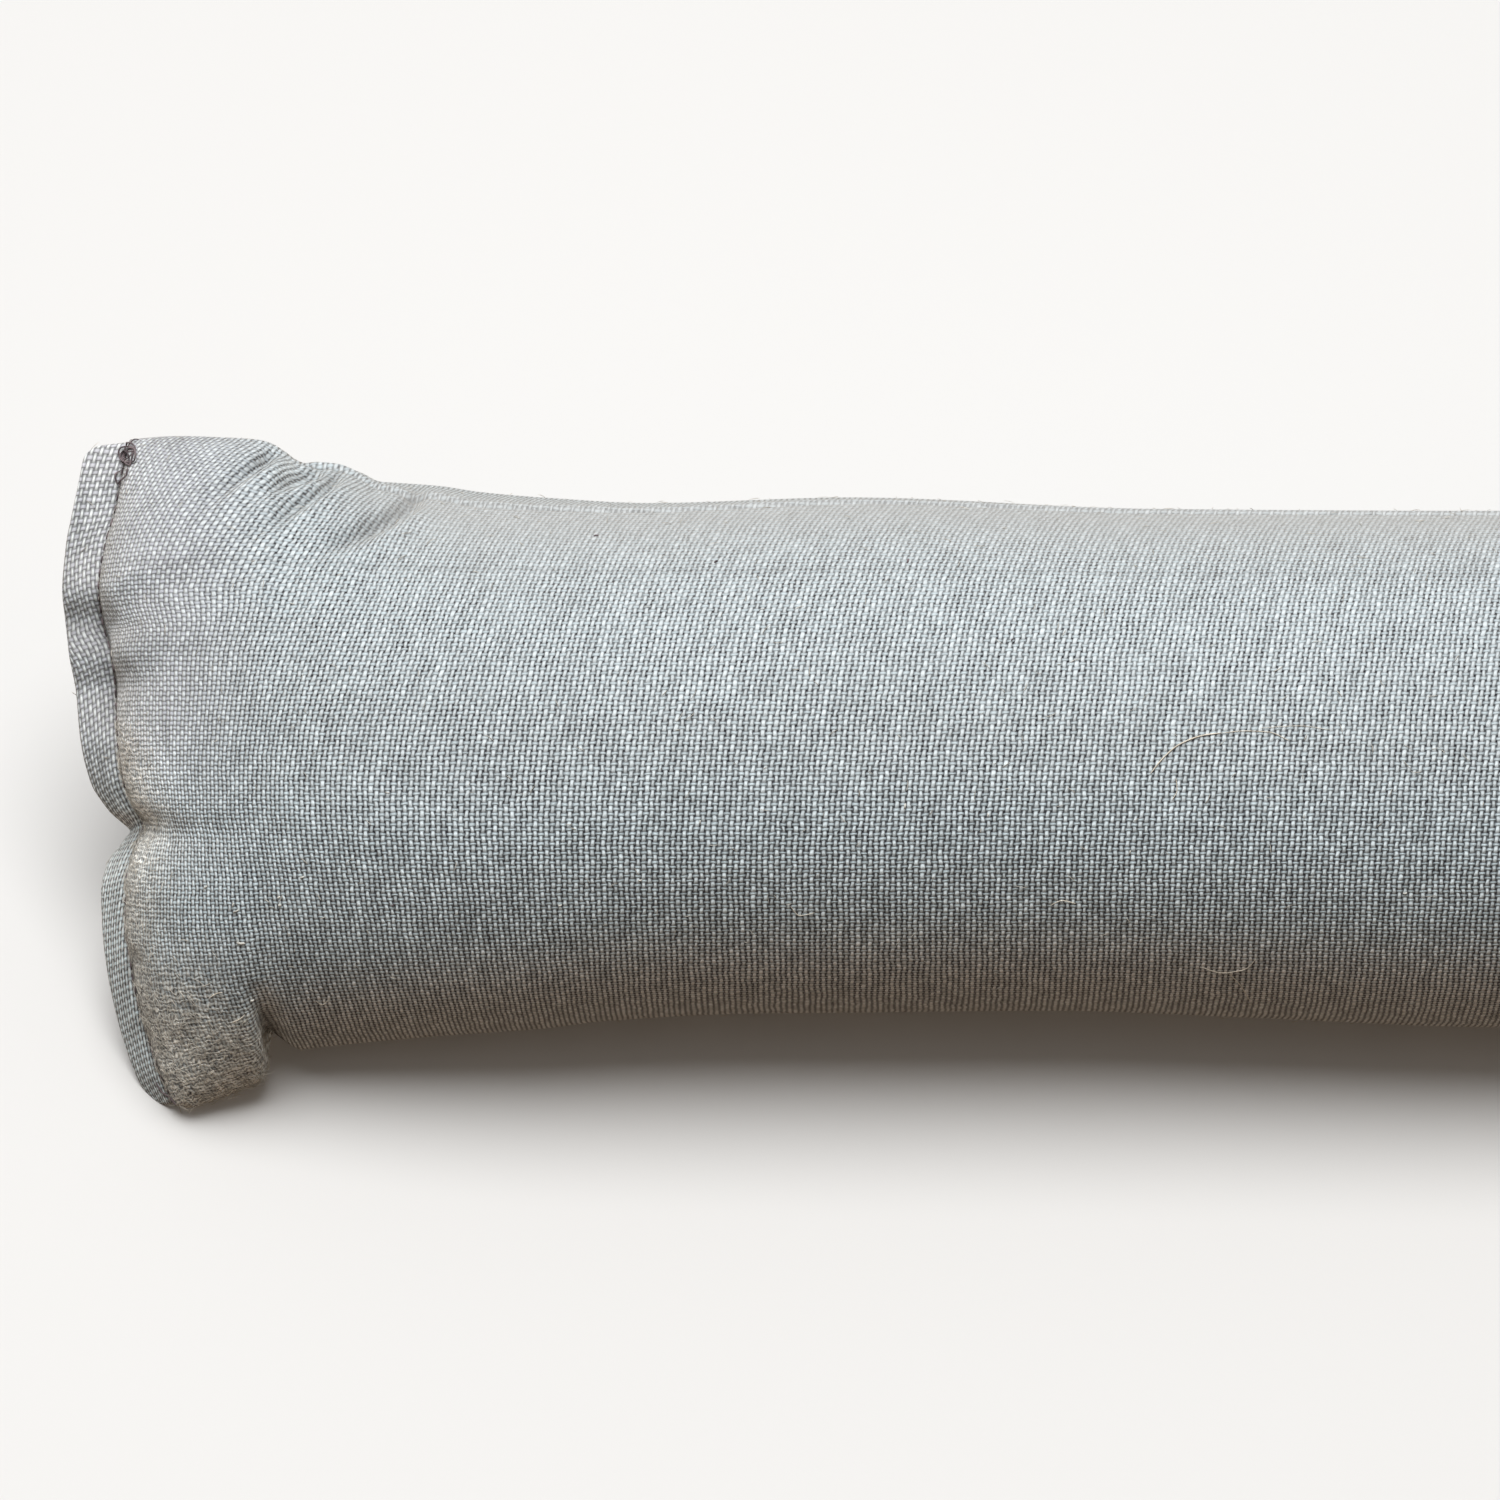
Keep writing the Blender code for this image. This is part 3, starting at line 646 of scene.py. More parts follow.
def make_tube():
    """The whole cloth tube, with the weave's thread counts as its UV map."""
    grid, uncreased, round_up, past_seam = tube_grid()
    placed = laid_on_floor(grid)
    tube = mesh_from("cloth_tube", placed.reshape(-1, 3), loft_faces(len(grid)))
    mesh = tube.data
    count_round, count_along = thread_counts(uncreased, round_up)
    ring, column = face_corner_columns(mesh)
    threads = mesh.uv_layers.new(name="threads")
    pairs = np.column_stack([count_round[ring, column], count_along[ring, column]])
    threads.data.foreach_set("uv", pairs.ravel().astype(np.float32))
    # Painted light: how far each place faces the painted key light, which lights and shades the cloth's
    # colour and fills or opens its gaps
    facing = (grid_normals(grid) * PAINTED_LIGHT_DIRECTION).sum(axis=2)
    set_values(mesh, "past_seam", past_seam * 1000.0)
    set_values(mesh, "worn", worn_share(grid))
    set_values(mesh, "haze_and_sheen", seam_haze_and_sheen(grid, past_seam))
    set_values(mesh, "painted_light_facing", (facing + 0.3) / 1.3)
    set_values(mesh, "fold_shade", fold_shade(grid))
    set_values(mesh, "painted_light_tone", painted_light_tone(grid))
    set_values(mesh, "strip", on_strip(grid))
    set_values(mesh, "near_end", near_left_end(grid))
    return tube, grid, placed


def fold_shade(grid):
    """How deep in a sharp crease each point lies, from 0 to 1."""
    sharp = [crease for crease in CREASES if crease.ridge > 0.0 and crease.width < SHARP_WIDTH]
    return np.clip(-crease_offset(grid, sharp) / 0.0017, 0.0, 1.6)


def worn_share(grid):
    """Where the cloth is rubbed to a beige fuzz, from 0 to 1."""
    x, up = grid[..., 0], grid[..., 1]
    inside = x - left_stitch_x(up)
    beside = np.exp(-(np.maximum(inside - 0.001, 0.0) / WORN_REACH) ** 2) * (inside > -0.0005)
    ear = smooth_steps((-0.030 - up) / 0.022) * smooth_steps((0.048 - x) / 0.010)
    notch = np.hypot(x - 0.0405, up + 0.044) / 0.011
    ear = ear * (inside > 0.0) * (1.0 - 0.75 * np.exp(-(notch**2)))
    right = LENGTH - x
    far = np.exp(-(np.maximum(right - 0.012, 0.0) / WORN_REACH) ** 2) * (right > 0.0105)
    beside = beside * (0.10 + 0.62 * smooth_steps((0.016 - up) / 0.016))
    rubbed = np.maximum(np.maximum(beside, ear), far * 0.6)
    return np.clip(rubbed, 0.0, 1.0)


def seam_haze_and_sheen(grid, past_seam):
    """Where fine beige fibres veil the cloth along the long seam, partly a painted beige sheen of that
    edge, from 0 to 1.
    """
    from_end = np.minimum(grid[..., 0], LENGTH - grid[..., 0])
    reach = np.where(past_seam > 0.0, HAZE_AND_SHEEN_REACH_BEHIND, HAZE_AND_SHEEN_REACH)
    return np.exp(-((past_seam / reach) ** 2)) * smooth_steps((from_end - 0.035) / 0.045)


# Materials

class Number:
    """A number that a material works out at each point. Arithmetic on it adds nodes."""

    def __init__(self, graph, socket):
        self.graph = graph
        self.socket = socket

    def __add__(self, other):
        return self.graph.math("ADD", self, other)

    def __sub__(self, other):
        return self.graph.math("SUBTRACT", self, other)

    def __rsub__(self, other):
        return self.graph.math("SUBTRACT", other, self)

    def __mul__(self, other):
        return self.graph.math("MULTIPLY", self, other)

    def __truediv__(self, other):
        return self.graph.math("DIVIDE", self, other)


class Graph:
    """Short calls for the nodes of one material."""

    def __init__(self, name):
        self.material = bpy.data.materials.new(name)
        self.material.use_nodes = True
        self.tree = self.material.node_tree
        self.shader = self.tree.nodes["Principled BSDF"]

    def node(self, kind, **settings):
        made = self.tree.nodes.new(kind)
        for name, value in settings.items():
            setattr(made, name, value)
        return made

    def put(self, socket, value):
        if isinstance(value, Number):
            value = value.socket
        if isinstance(value, bpy.types.NodeSocket):
            self.tree.links.new(value, socket)
        else:
            socket.default_value = value

    def put_all(self, node, values):
        for socket, value in zip(node.inputs, values):
            self.put(socket, value)

    def math(self, operation, *values):
        made = self.node("ShaderNodeMath", operation=operation)
        self.put_all(made, values)
        return Number(self, made.outputs[0])

    def vector(self, *values):
        made = self.node("ShaderNodeCombineXYZ")
        self.put_all(made, values)
        return made.outputs[0]

    def noise(self, vector, scale, detail=2.0, roughness=0.5):
        made = self.node("ShaderNodeTexNoise")
        self.put(made.inputs["Vector"], vector)
        self.put(made.inputs["Scale"], scale)
        self.put(made.inputs["Detail"], detail)
        self.put(made.inputs["Roughness"], roughness)
        return Number(self, made.outputs["Fac"])

    def cell(self, x, y):
        made = self.node("ShaderNodeTexWhiteNoise", noise_dimensions="2D")
        self.put(made.inputs["Vector"], self.vector(x, y))
        return Number(self, made.outputs["Value"])

    def ramp(self, value, low, high, to_low=0.0, to_high=1.0, kind="SMOOTHSTEP"):
        made = self.node("ShaderNodeMapRange", clamp=True, interpolation_type=kind)
        self.put_all(made, (value, low, high, to_low, to_high))
        return Number(self, made.outputs[0])

    def line(self, *numbers):
        return self.ramp(*numbers, kind="LINEAR")

    def mix(self, share, low, high, blend="MIX"):
        made = self.node("ShaderNodeMix", data_type="RGBA", blend_type=blend)
        self.put(made.inputs["Factor"], share)
        self.put(made.inputs["A"], low)
        self.put(made.inputs["B"], high)
        return made.outputs["Result"]

    def tinted(self, colour, tint):
        return self.mix(1.0, colour, tint, "MULTIPLY")

    def shaded(self, colour, tone):
        return self.tinted(colour, self.vector(tone, tone, tone))

    def attribute(self, name):
        made = self.node("ShaderNodeAttribute", attribute_name=name)
        return Number(self, made.outputs["Fac"])

    def surface(self, colour, height, distance, values):
        bump = self.node("ShaderNodeBump")
        bump.inputs["Strength"].default_value = 1.0
        bump.inputs["Distance"].default_value = distance
        self.put(bump.inputs["Height"], height)
        self.put(self.shader.inputs["Base Color"], colour)
        self.put(self.shader.inputs["Normal"], bump.outputs[0])
        self.finish(values)

    def finish(self, values):
        for name, value in values.items():
            self.put(self.shader.inputs[name], value)


PALE_THREAD = (0.735, 0.79, 0.81, 1.0)
DARK_THREAD = (0.60, 0.675, 0.705, 1.0)
LOOSE_THREAD = (0.52, 0.535, 0.59, 1.0)
# Painted shade: the colour of the gaps between the threads
GAP_SHADE_COLOUR = (0.024, 0.024, 0.032, 1.0)
FUZZ_COLOUR = (0.70, 0.66, 0.585, 1.0)
HAZE_AND_SHEEN_COLOUR = (0.535, 0.54, 0.535, 1.0)
STRIP_TINT = (1.04, 1.02, 0.995, 1.0)
LOOSE_TINT = (1.045, 1.015, 1.005, 1.0)
# Painted light: tints by how the cloth faces the painted key light, a warm painted bounce below, cooler
# beside and greyer above
PAINTED_BOUNCE_TINT_BELOW = (1.17, 1.06, 1.0, 1.0)
PAINTED_LIGHT_TINT_BESIDE = (1.0, 1.055, 1.085, 1.0)
PAINTED_LIGHT_TINT_ABOVE = (0.945, 0.96, 0.97, 1.0)
WEAVE_HEIGHT = 0.00029
YARN_HEIGHT = 0.00006
FLOOR_COLOUR = (0.76, 0.755, 0.745, 1.0)

# The sewing thread and the fibres: pale and dark colour, and how long a twist is
YARNS = {
    "taupe_thread": ((0.26, 0.205, 0.215, 1.0), (0.075, 0.055, 0.062, 1.0), 0.0004),
    "straw_fibre": ((0.95, 0.88, 0.76, 1.0), (0.78, 0.70, 0.58, 1.0), 0.0006),
    "pale_slub": ((0.86, 0.85, 0.79, 1.0), (0.68, 0.67, 0.62, 1.0), 0.0008),
    "soft_fuzz": ((0.74, 0.70, 0.62, 1.0), (0.60, 0.56, 0.49, 1.0), 0.0006),
}

# Threads along the tube are counted from this far below its outer side, and one is darker
COUNT_START = 0.3
DARK_LINE = (COUNT_START + 0.0419) / THREAD_ALONG


def thread_family(g, own, other, turned, width, low, swing, swell):
    """One family of threads: its height above the gaps, and how its thickness varies."""
    index = g.math("FLOOR", own)
    across = g.math("FRACT", own) - 0.5
    rise = g.math("SINE", other * math.pi) * g.math("COSINE", index * math.pi)
    uneven = g.noise(g.vector(index * 7.37, other), 0.11, 3.0, 0.6)
    ratio = across / (g.line(uneven, 0.3, 0.7, width - 0.07, width + 0.07) * swell)
    profile = g.math("SQRT", g.math("MAXIMUM", 1.0 - ratio * ratio, 0.0))
    return profile * (rise * (swing * turned) + low), uneven


def cloth_material():
    """Plain-woven blue-grey cotton, rubbed to fuzz in places, with painted light and shade by how it
    faces a painted key light.
    """
    g = Graph("blue_grey_cotton")
    worn, strip, loose = [g.attribute(name) for name in ("worn", "strip", "near_end")]
    lit, shade, past = [g.attribute(name) for name in ("painted_light_facing", "fold_shade", "past_seam")]
    uv = g.node("ShaderNodeUVMap", uv_map="threads").outputs[0]
    parts = g.node("ShaderNodeSeparateXYZ")
    g.put(parts.inputs[0], uv)
    behind = g.math("GREATER_THAN", past, 0.0)
    round_count = behind * 0.43 + Number(g, parts.outputs[0])
    along_count = behind * 0.37 + Number(g, parts.outputs[1])
    turned_counts = g.vector(along_count, round_count)

    # Threads that wander, and how high each stands
    ripple = (g.noise(uv, 0.45, 2.0, 0.6) - 0.5) * (1.0 - strip * 0.8)
    s = (g.noise(uv, 0.16, 2.0) - 0.5) * 0.65 + round_count
    t = (g.noise(turned_counts, 0.13, 2.0) - 0.5) * 0.6 + along_count
    s = ripple * (worn + 0.5) + s
    t = ripple * (worn * 2.2 + 0.5) + t
    swell = loose * (1.0 - strip) * 0.14 + 1.0
    low_round = loose * -0.20 + 0.72
    high_round, uneven_round = thread_family(g, s, t, 1.0, 0.345, low_round, 0.36, swell)
    high_along, uneven_along = thread_family(g, t, s, -1.0, 0.33, 0.44, 0.42, swell)
    top = g.math("MAXIMUM", high_round, high_along)
    over = g.ramp(high_round - high_along, -0.06, 0.06)

    # The tone of each thread, and of each place where one passes over the other, with painted light and
    # shade by how the cloth faces the painted key light, and painted shade in sharp creases
    fibre = g.noise(g.vector(s * 3.1, t), 2.4, 3.0, 0.7)
    column = g.math("FLOOR", s)
    float_start = t + 0.5 - g.math("FLOORED_MODULO", column, 2.0)
    each = g.cell(column, g.math("FLOOR", float_start * 0.5))
    # Painted light and shade: each float's tone varies more where the cloth faces away from the painted
    # key light
    each_low = g.line(lit, 0.0, 0.8, 0.74, 0.95)
    each_high = g.line(lit, 0.0, 0.8, 1.24, 1.05)
    wavy = g.math("COSINE", (t - 0.5) * (2.0 * math.pi))
    tone = g.line(uneven_round, 0.25, 0.75, 0.86, 1.12) * over
    tone += g.line(uneven_along, 0.25, 0.75, 0.82, 1.14) * (1.0 - over)
    tone *= g.ramp(g.math("ABSOLUTE", along_count - DARK_LINE), 0.3, 1.1, 0.88, 1.0)
    # Painted shade where the round threads dip at each row, stronger away from the painted key light
    tone *= wavy * g.line(lit, 0.0, 1.0, 0.13, 0.02) + 1.0
    tone *= each * (each_high - each_low) + each_low
    # Painted light: paler where the cloth faces away from the painted key light, darker where it faces
    # it
    tone *= g.line(lit, 0.0, 1.0, 1.12, 0.955)
    tone *= g.line(fibre, 0.25, 0.75, 0.88, 1.12)
    tone *= g.line(g.noise(uv, 0.55, 3.0, 0.65), 0.3, 0.7, 0.955, 1.045)
    tone *= g.line(g.noise(uv, 0.045, 3.0, 0.6), 0.3, 0.7, 0.98, 1.02)
    # Painted shade along the groove of the long seam
    tone *= g.ramp(g.math("ABSOLUTE", past), 0.1, 0.55, 0.5, 1.0)
    tone *= g.line(shade, 0.0, 1.6, 1.0, 0.34)
    # Painted light and shade of the left end
    tone *= g.attribute("painted_light_tone")

    # How far each gap between the threads is closed: the gaps are painted shade, filled where the cloth
    # faces the painted key light and opened in sharp creases
    filled = g.line(top - g.ramp(lit, 0.0, 0.8, 0.10, 0.0), 0.10, 0.72)
    nearest = [g.math("FLOOR", count + 0.5) for count in (s, t)]
    patch = g.noise(turned_counts, 0.10, 2.0, 0.6)
    open_share = g.cell(*nearest) + g.line(patch, 0.35, 0.65, -0.15, 0.15)
    closed = g.line(open_share, 0.0, 1.0, 0.42, 0.0)
    closed *= (1.0 - strip * 0.5) * (1.0 - shade * 0.5)
    closed_up = g.math("MAXIMUM", worn * 0.06, lit * closed)
    loose_gaps = loose * (strip * 0.05 + 0.28) * (1.0 - shade)
    filled += g.math("MAXIMUM", closed_up, loose_gaps) * (1.0 - filled)

    # Colours of the threads, the painted shade of the gaps, painted tints by how the cloth faces the
    # painted key light, the fuzz, and the haze of fibres with its painted sheen
    under = g.mix(loose * 0.85, DARK_THREAD, LOOSE_THREAD)
    colour = g.mix(filled, GAP_SHADE_COLOUR, g.mix(over, under, PALE_THREAD))
    # Painted light: a warm painted bounce where the cloth faces away from the painted key light, cooler
    # beside it and greyer where it faces it
    tint = g.mix(g.ramp(lit, -0.25, 0.05), PAINTED_BOUNCE_TINT_BELOW, PAINTED_LIGHT_TINT_BESIDE)
    colour = g.tinted(colour, g.mix(g.ramp(lit, 0.25, 0.6), tint, PAINTED_LIGHT_TINT_ABOVE))
    hairs = g.noise(g.vector(s * 0.42, t), 1.05, 3.0, 0.65)
    fuzz_tone = (wavy * 0.45 + 0.92) * g.line(hairs, 0.39, 0.61, 0.16, 1.80)
    colour = g.mix(worn * 0.60, colour, g.shaded(FUZZ_COLOUR, fuzz_tone))
    colour = g.shaded(colour, tone)
    colour = g.mix(strip, colour, g.tinted(colour, STRIP_TINT))
    colour = g.mix(loose, colour, g.tinted(colour, LOOSE_TINT))
    # A haze of fibres along the long seam that is partly painted sheen: greyer and flatter there
    haze_and_sheen_tone = g.ramp(hairs, 0.3, 0.7, 0.88, 1.12) * (wavy * 0.05 + 1.0)
    colour = g.mix(g.attribute("haze_and_sheen") * 0.66, colour, g.shaded(HAZE_AND_SHEEN_COLOUR, haze_and_sheen_tone))

    height = top * (1.0 - worn * 0.3) + fibre * 0.22 + hairs * worn * 1.3
    g.surface(colour, height, WEAVE_HEIGHT, {
        "Roughness": g.line(top, 0.0, 1.0, 0.96, 0.8),
        "Specular IOR Level": 0.25,
        "Sheen Weight": 0.5,
        "Sheen Roughness": 0.45,
        "Sheen Tint": (1.0, 0.90, 0.78, 1.0),
    })
    return g.material


def yarn_material(name, colour, dark, pitch):
    """Twisted thread: its plies show as slanting bands, with fine fibres over them."""
    g = Graph(name)
    where = g.node("ShaderNodeTexCoord").outputs["Object"]
    plies = g.node("ShaderNodeTexWave", wave_type="BANDS", bands_direction="DIAGONAL")
    g.put(plies.inputs["Vector"], where)
    g.put(plies.inputs["Scale"], 1.0 / (pitch * 20.0))
    g.put(plies.inputs["Distortion"], 1.5)
    fibre = g.noise(where, 9000.0, 3.0, 0.7)
    blotch = g.noise(where, 700.0, 2.0)
    share = Number(g, plies.outputs["Fac"]) * 0.8
    tone = g.line(fibre, 0.25, 0.75, 0.7, 1.3) * g.line(blotch, 0.3, 0.7, 0.8, 1.2)
    shine = {"Roughness": 0.85, "Specular IOR Level": 0.2, "Sheen Weight": 0.2}
    g.surface(g.shaded(g.mix(share, dark, colour), tone), share + fibre, YARN_HEIGHT, shine)
    return g.material


def floor_material():
    """Plain pale floor."""
    g = Graph("pale_floor")
    g.finish({"Base Color": FLOOR_COLOUR, "Roughness": 0.85, "Specular IOR Level": 0.2})
    return g.material


# Floor, light and camera

FLOOR_HALF = 12.0
SKY_COLOUR = (1.0, 0.99, 0.975, 1.0)
SKY_STRENGTH = 0.38
BOUNCE_COLOUR = (1.0, 0.78, 0.59, 1.0)
BOUNCE_STRENGTH = 0.155
BACKDROP_COLOUR = (0.88, 0.875, 0.865, 1.0)
KEY_TILT = math.radians(47)
KEY_LEFT = 0.22
KEY_DISTANCE = 2.0
KEY_WIDTH = 1.5
KEY_POWER = 42.0


def closure_axes():
    """The directions of up and out in the room."""
    up = Vector((0.0, math.cos(CLOSURE_TILT), math.sin(CLOSURE_TILT)))
    out = Vector((0.0, -math.sin(CLOSURE_TILT), math.cos(CLOSURE_TILT)))
    return up, out


def make_floor():
    """The floor under the tube."""
    corners = [(-1, -1), (1, -1), (1, 1), (-1, 1)]
    points = [(x * FLOOR_HALF, y * FLOOR_HALF, 0.0) for x, y in corners]
    floor = mesh_from("floor", points, [(0, 1, 2, 3)])
    floor.data.materials.append(floor_material())
    floor.visible_diffuse = False


def background(tree, colour, strength=1.0):
    """An even light of one colour."""
    made = tree.nodes.new("ShaderNodeBackground")
    made.inputs[0].default_value = colour
    made.inputs[1].default_value = strength
    return made.outputs[0]


def mixed_light(tree, share, low, high):
    """Two lights mixed by a share."""
    made = tree.nodes.new("ShaderNodeMixShader")
    for socket, output in zip(made.inputs, (share, low, high)):
        tree.links.new(output, socket)
    return made.outputs[0]


def make_light():
    """Soft light from the sky behind and above, and a little warm light from below."""
    world = bpy.data.worlds.new("soft_light")
    bpy.context.scene.world = world
    world.use_nodes = True
    tree = world.node_tree
    tree.nodes.clear()
    where = tree.nodes.new("ShaderNodeTexCoord")
    dot = tree.nodes.new("ShaderNodeVectorMath")
    dot.operation = "DOT_PRODUCT"
    dot.inputs[1].default_value = closure_axes()[0]
    tree.links.new(where.outputs["Generated"], dot.inputs[0])
    share = tree.nodes.new("ShaderNodeMapRange")
    share.interpolation_type = "SMOOTHSTEP"
    share.inputs["From Min"].default_value = -0.35
    share.inputs["From Max"].default_value = 0.45
    tree.links.new(dot.outputs["Value"], share.inputs["Value"])
    bounce = background(tree, BOUNCE_COLOUR, BOUNCE_STRENGTH)
    sky = background(tree, SKY_COLOUR, SKY_STRENGTH)
    lit = mixed_light(tree, share.outputs[0], bounce, sky)
    rays = tree.nodes.new("ShaderNodeLightPath")
    seen = mixed_light(tree, rays.outputs["Is Camera Ray"], lit, background(tree, BACKDROP_COLOUR))
    output = tree.nodes.new("ShaderNodeOutputWorld")
    tree.links.new(seen, output.inputs[0])


def make_key_light():
    """A wide soft lamp overhead, a little behind the tube."""
    up, out = closure_axes()
    direction = up * math.cos(KEY_TILT) + out * math.sin(KEY_TILT)
    direction = (direction + Vector((-KEY_LEFT, 0.0, 0.0))).normalized()
    lamp = bpy.data.lights.new("overhead_lamp", "AREA")
    lamp.shape = "DISK"
    lamp.size = KEY_WIDTH
    lamp.energy = KEY_POWER
    thing = bpy.data.objects.new("overhead_lamp", lamp)
    bpy.context.scene.collection.objects.link(thing)
    thing.location = Vector((0.0, 0.0, AXIS_HEIGHT)) + direction * KEY_DISTANCE
    thing.rotation_euler = direction.to_track_quat("Z", "Y").to_euler()


def photo_view():
    """Where the photograph's camera stands, and the point in the middle of its picture."""
    up, out = closure_axes()
    centre_x = (PHOTO_SIDE / 2 - PIXEL_X0) * PIXEL - LENGTH / 2.0
    centre_up = (PIXEL_UP0 - PHOTO_SIDE / 2) * PIXEL
    target = Vector((centre_x, AXIS_Y, AXIS_HEIGHT)) + up * centre_up
    return target + out * CAMERA_DISTANCE, target


def make_camera():
    """The camera, square to the closures' plane, as the photograph was taken."""
    camera = bpy.data.objects.new("camera", bpy.data.cameras.new("camera"))
    bpy.context.scene.collection.objects.link(camera)
    camera.location = photo_view()[0]
    camera.rotation_euler = (-closure_axes()[1]).to_track_quat("-Z", "Y").to_euler()
    camera.data.sensor_width = SENSOR
    camera.data.lens = SENSOR * CAMERA_DISTANCE / (PHOTO_SIDE * PIXEL)
    bpy.context.scene.camera = camera
    bpy.context.scene.view_settings.view_transform = "Standard"


# Sewing thread, loose threads and fuzz

def swept(centre, radius, sides):
    """Points and faces of a thread along a line of points, closed to a tip at both ends."""
    centre = np.asarray(centre, float)
    count = len(centre)
    forward = np.gradient(centre, axis=0)
    forward /= np.maximum(np.linalg.norm(forward, axis=1), 1e-12)[:, None]
    side = np.cross(forward[0], [0.31, 0.57, 0.76])
    points = []
    share = np.linspace(0.0, 1.0, count)
    width = radius * np.sqrt(np.clip(1.0 - (2.0 * share - 1.0) ** 8, 0.06, 1.0))
    for k in range(count):
        side = side - forward[k] * side.dot(forward[k])
        side /= np.linalg.norm(side)
        across = np.cross(forward[k], side)
        for n in range(sides):
            turn = 2.0 * math.pi * n / sides
            way = side * math.cos(turn) + across * math.sin(turn)
            points.append(centre[k] + way * width[k])
    faces = []
    for k in range(count - 1):
        for n in range(sides):
            m = (n + 1) % sides
            a, b = k * sides, (k + 1) * sides
            faces.append((a + n, a + m, b + m, b + n))
    faces.append(tuple(range(sides))[::-1])
    faces.append(tuple((count - 1) * sides + n for n in range(sides)))
    return points, faces


def smooth_line(points, count):
    """A smooth line with more points, through the given ones."""
    points = np.asarray(points, float)
    step = np.linalg.norm(np.diff(points, axis=0), axis=1)
    walked = np.concatenate([[0.0], np.cumsum(np.maximum(step, 1e-9))])
    at = np.linspace(0.0, walked[-1], count)
    return np.column_stack([curve_through(walked, points[:, c], at) for c in range(3)])


def joined(name, strands, sides):
    """One piece of many threads. Each strand is a line of points and a thickness."""
    points, faces = [], []
    for centre, radius in strands:
        more_points, more_faces = swept(centre, radius, sides)
        base = len(points)
        points += more_points
        faces += [tuple(base + corner for corner in face) for face in more_faces]
    return mesh_from(name, points, faces)


def dress(piece, material):
    """A piece that lies on the cloth and goes where the tube goes."""
    piece.data.materials.append(material)
    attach(piece, "root")


STITCH_PITCH = 0.0026
STITCH_LENGTH = 0.0020
STITCH_RADIUS = 0.00017
STITCH_ROWS_IN = 1
STITCH_POINTS = 7
STITCH_RISE = 0.00030
STITCH_SUNK = 0.00010


def stitch_strands(placed, normals, rng):
    """Dashes of thread along both faces of both lines of stitches."""
    back = BOTTOM_STEPS - BOTTOM_STEPS // 2
    top_columns = np.arange(back, back + TOP_STEPS + 1)
    under = np.arange(back + TOP_STEPS, back + RING_SIZE + 1) % RING_SIZE
    strands = []
    left_ring = len(STRIP_RINGS) - STITCH_ROWS_IN
    for ring in (left_ring, len(placed) - 1 - left_ring):
        for columns in (top_columns, under):
            line, normal = placed[ring, columns], normals[ring, columns]
            step = np.linalg.norm(np.diff(line, axis=0), axis=1)
            walked = np.concatenate([[0.0], np.cumsum(step)])
            start = STITCH_PITCH
            while start + STITCH_LENGTH < walked[-1] - STITCH_PITCH * 0.5:
                length = STITCH_LENGTH * rng.uniform(0.85, 1.08)
                at = np.linspace(start, start + length, STITCH_POINTS)
                centre = np.column_stack([np.interp(at, walked, line[:, c]) for c in range(3)])
                way = np.column_stack([np.interp(at, walked, normal[:, c]) for c in range(3)])
                rise = np.sin(np.linspace(0.0, math.pi, STITCH_POINTS)) * STITCH_RISE - STITCH_SUNK
                centre = centre + way * (rise + rng.uniform(-0.00003, 0.00003))[:, None]
                strands.append((centre, STITCH_RADIUS * rng.uniform(0.9, 1.1)))
                start += STITCH_PITCH
    return strands


def photo_ray(px, py):
    """Where a pixel of the photograph looks from, and the way it looks."""
    eye, target = photo_view()
    seen = target + Vector((1.0, 0.0, 0.0)) * ((px - PHOTO_SIDE / 2) * PIXEL)
    seen += closure_axes()[0] * ((PHOTO_SIDE / 2 - py) * PIXEL)
    return eye, (seen - eye).normalized()


def on_cloth(tree, px, py, lift):
    """The point of the cloth that a pixel shows, lifted a little off it."""
    eye, way = photo_ray(px, py)
    place, normal, _, _ = tree.ray_cast(eye, way)
    if place is None:
        return None
    if normal.dot(way) > 0.0:
        normal = -normal
    return np.array(place + normal * lift)


def laid_thread(tree, pixels, lifts, count):
    """A smooth line over the cloth, through some pixels of the photograph."""
    points = [on_cloth(tree, px, py, lift) for (px, py), lift in zip(pixels, lifts)]
    return smooth_line([p for p in points if p is not None], count)


# The knot: loops round a pixel of the photograph, how wide and high, and where each starts
KNOT_LOOPS = [
    (127.5, 453.5, 8.6, 6.6, 0.2),
    (131.0, 457.0, 6.6, 8.4, 1.6),
    (125.5, 457.5, 5.4, 6.4, 3.2),
    (129.0, 449.5, 7.0, 4.6, 4.4),
]

# Loose ends of the sewing thread: pixels, lift off the cloth, number of points and radius
THREAD_ENDS = [
    (
        [(121.0, 470.0), (115.5, 475.5), (117.0, 482.0), (123.0, 483.0), (128.0, 477.0), (129.0, 468.0)],
        [0.0003, 0.0006, 0.0008, 0.0008, 0.0006, 0.0003], 40, 0.00019,
    ),
    (
        [(127.0, 452.0), (131.0, 446.0), (136.0, 441.5), (139.5, 441.0)],
        [0.0004, 0.0006, 0.0006, 0.0004], 24, 0.00012,
    ),
    (
        [(156.0, 1082.0), (163.0, 1092.0), (171.0, 1097.0), (177.0, 1103.0)],
        [0.0001, 0.0002, 0.0003, 0.0005], 24, 0.00020,
    ),
]


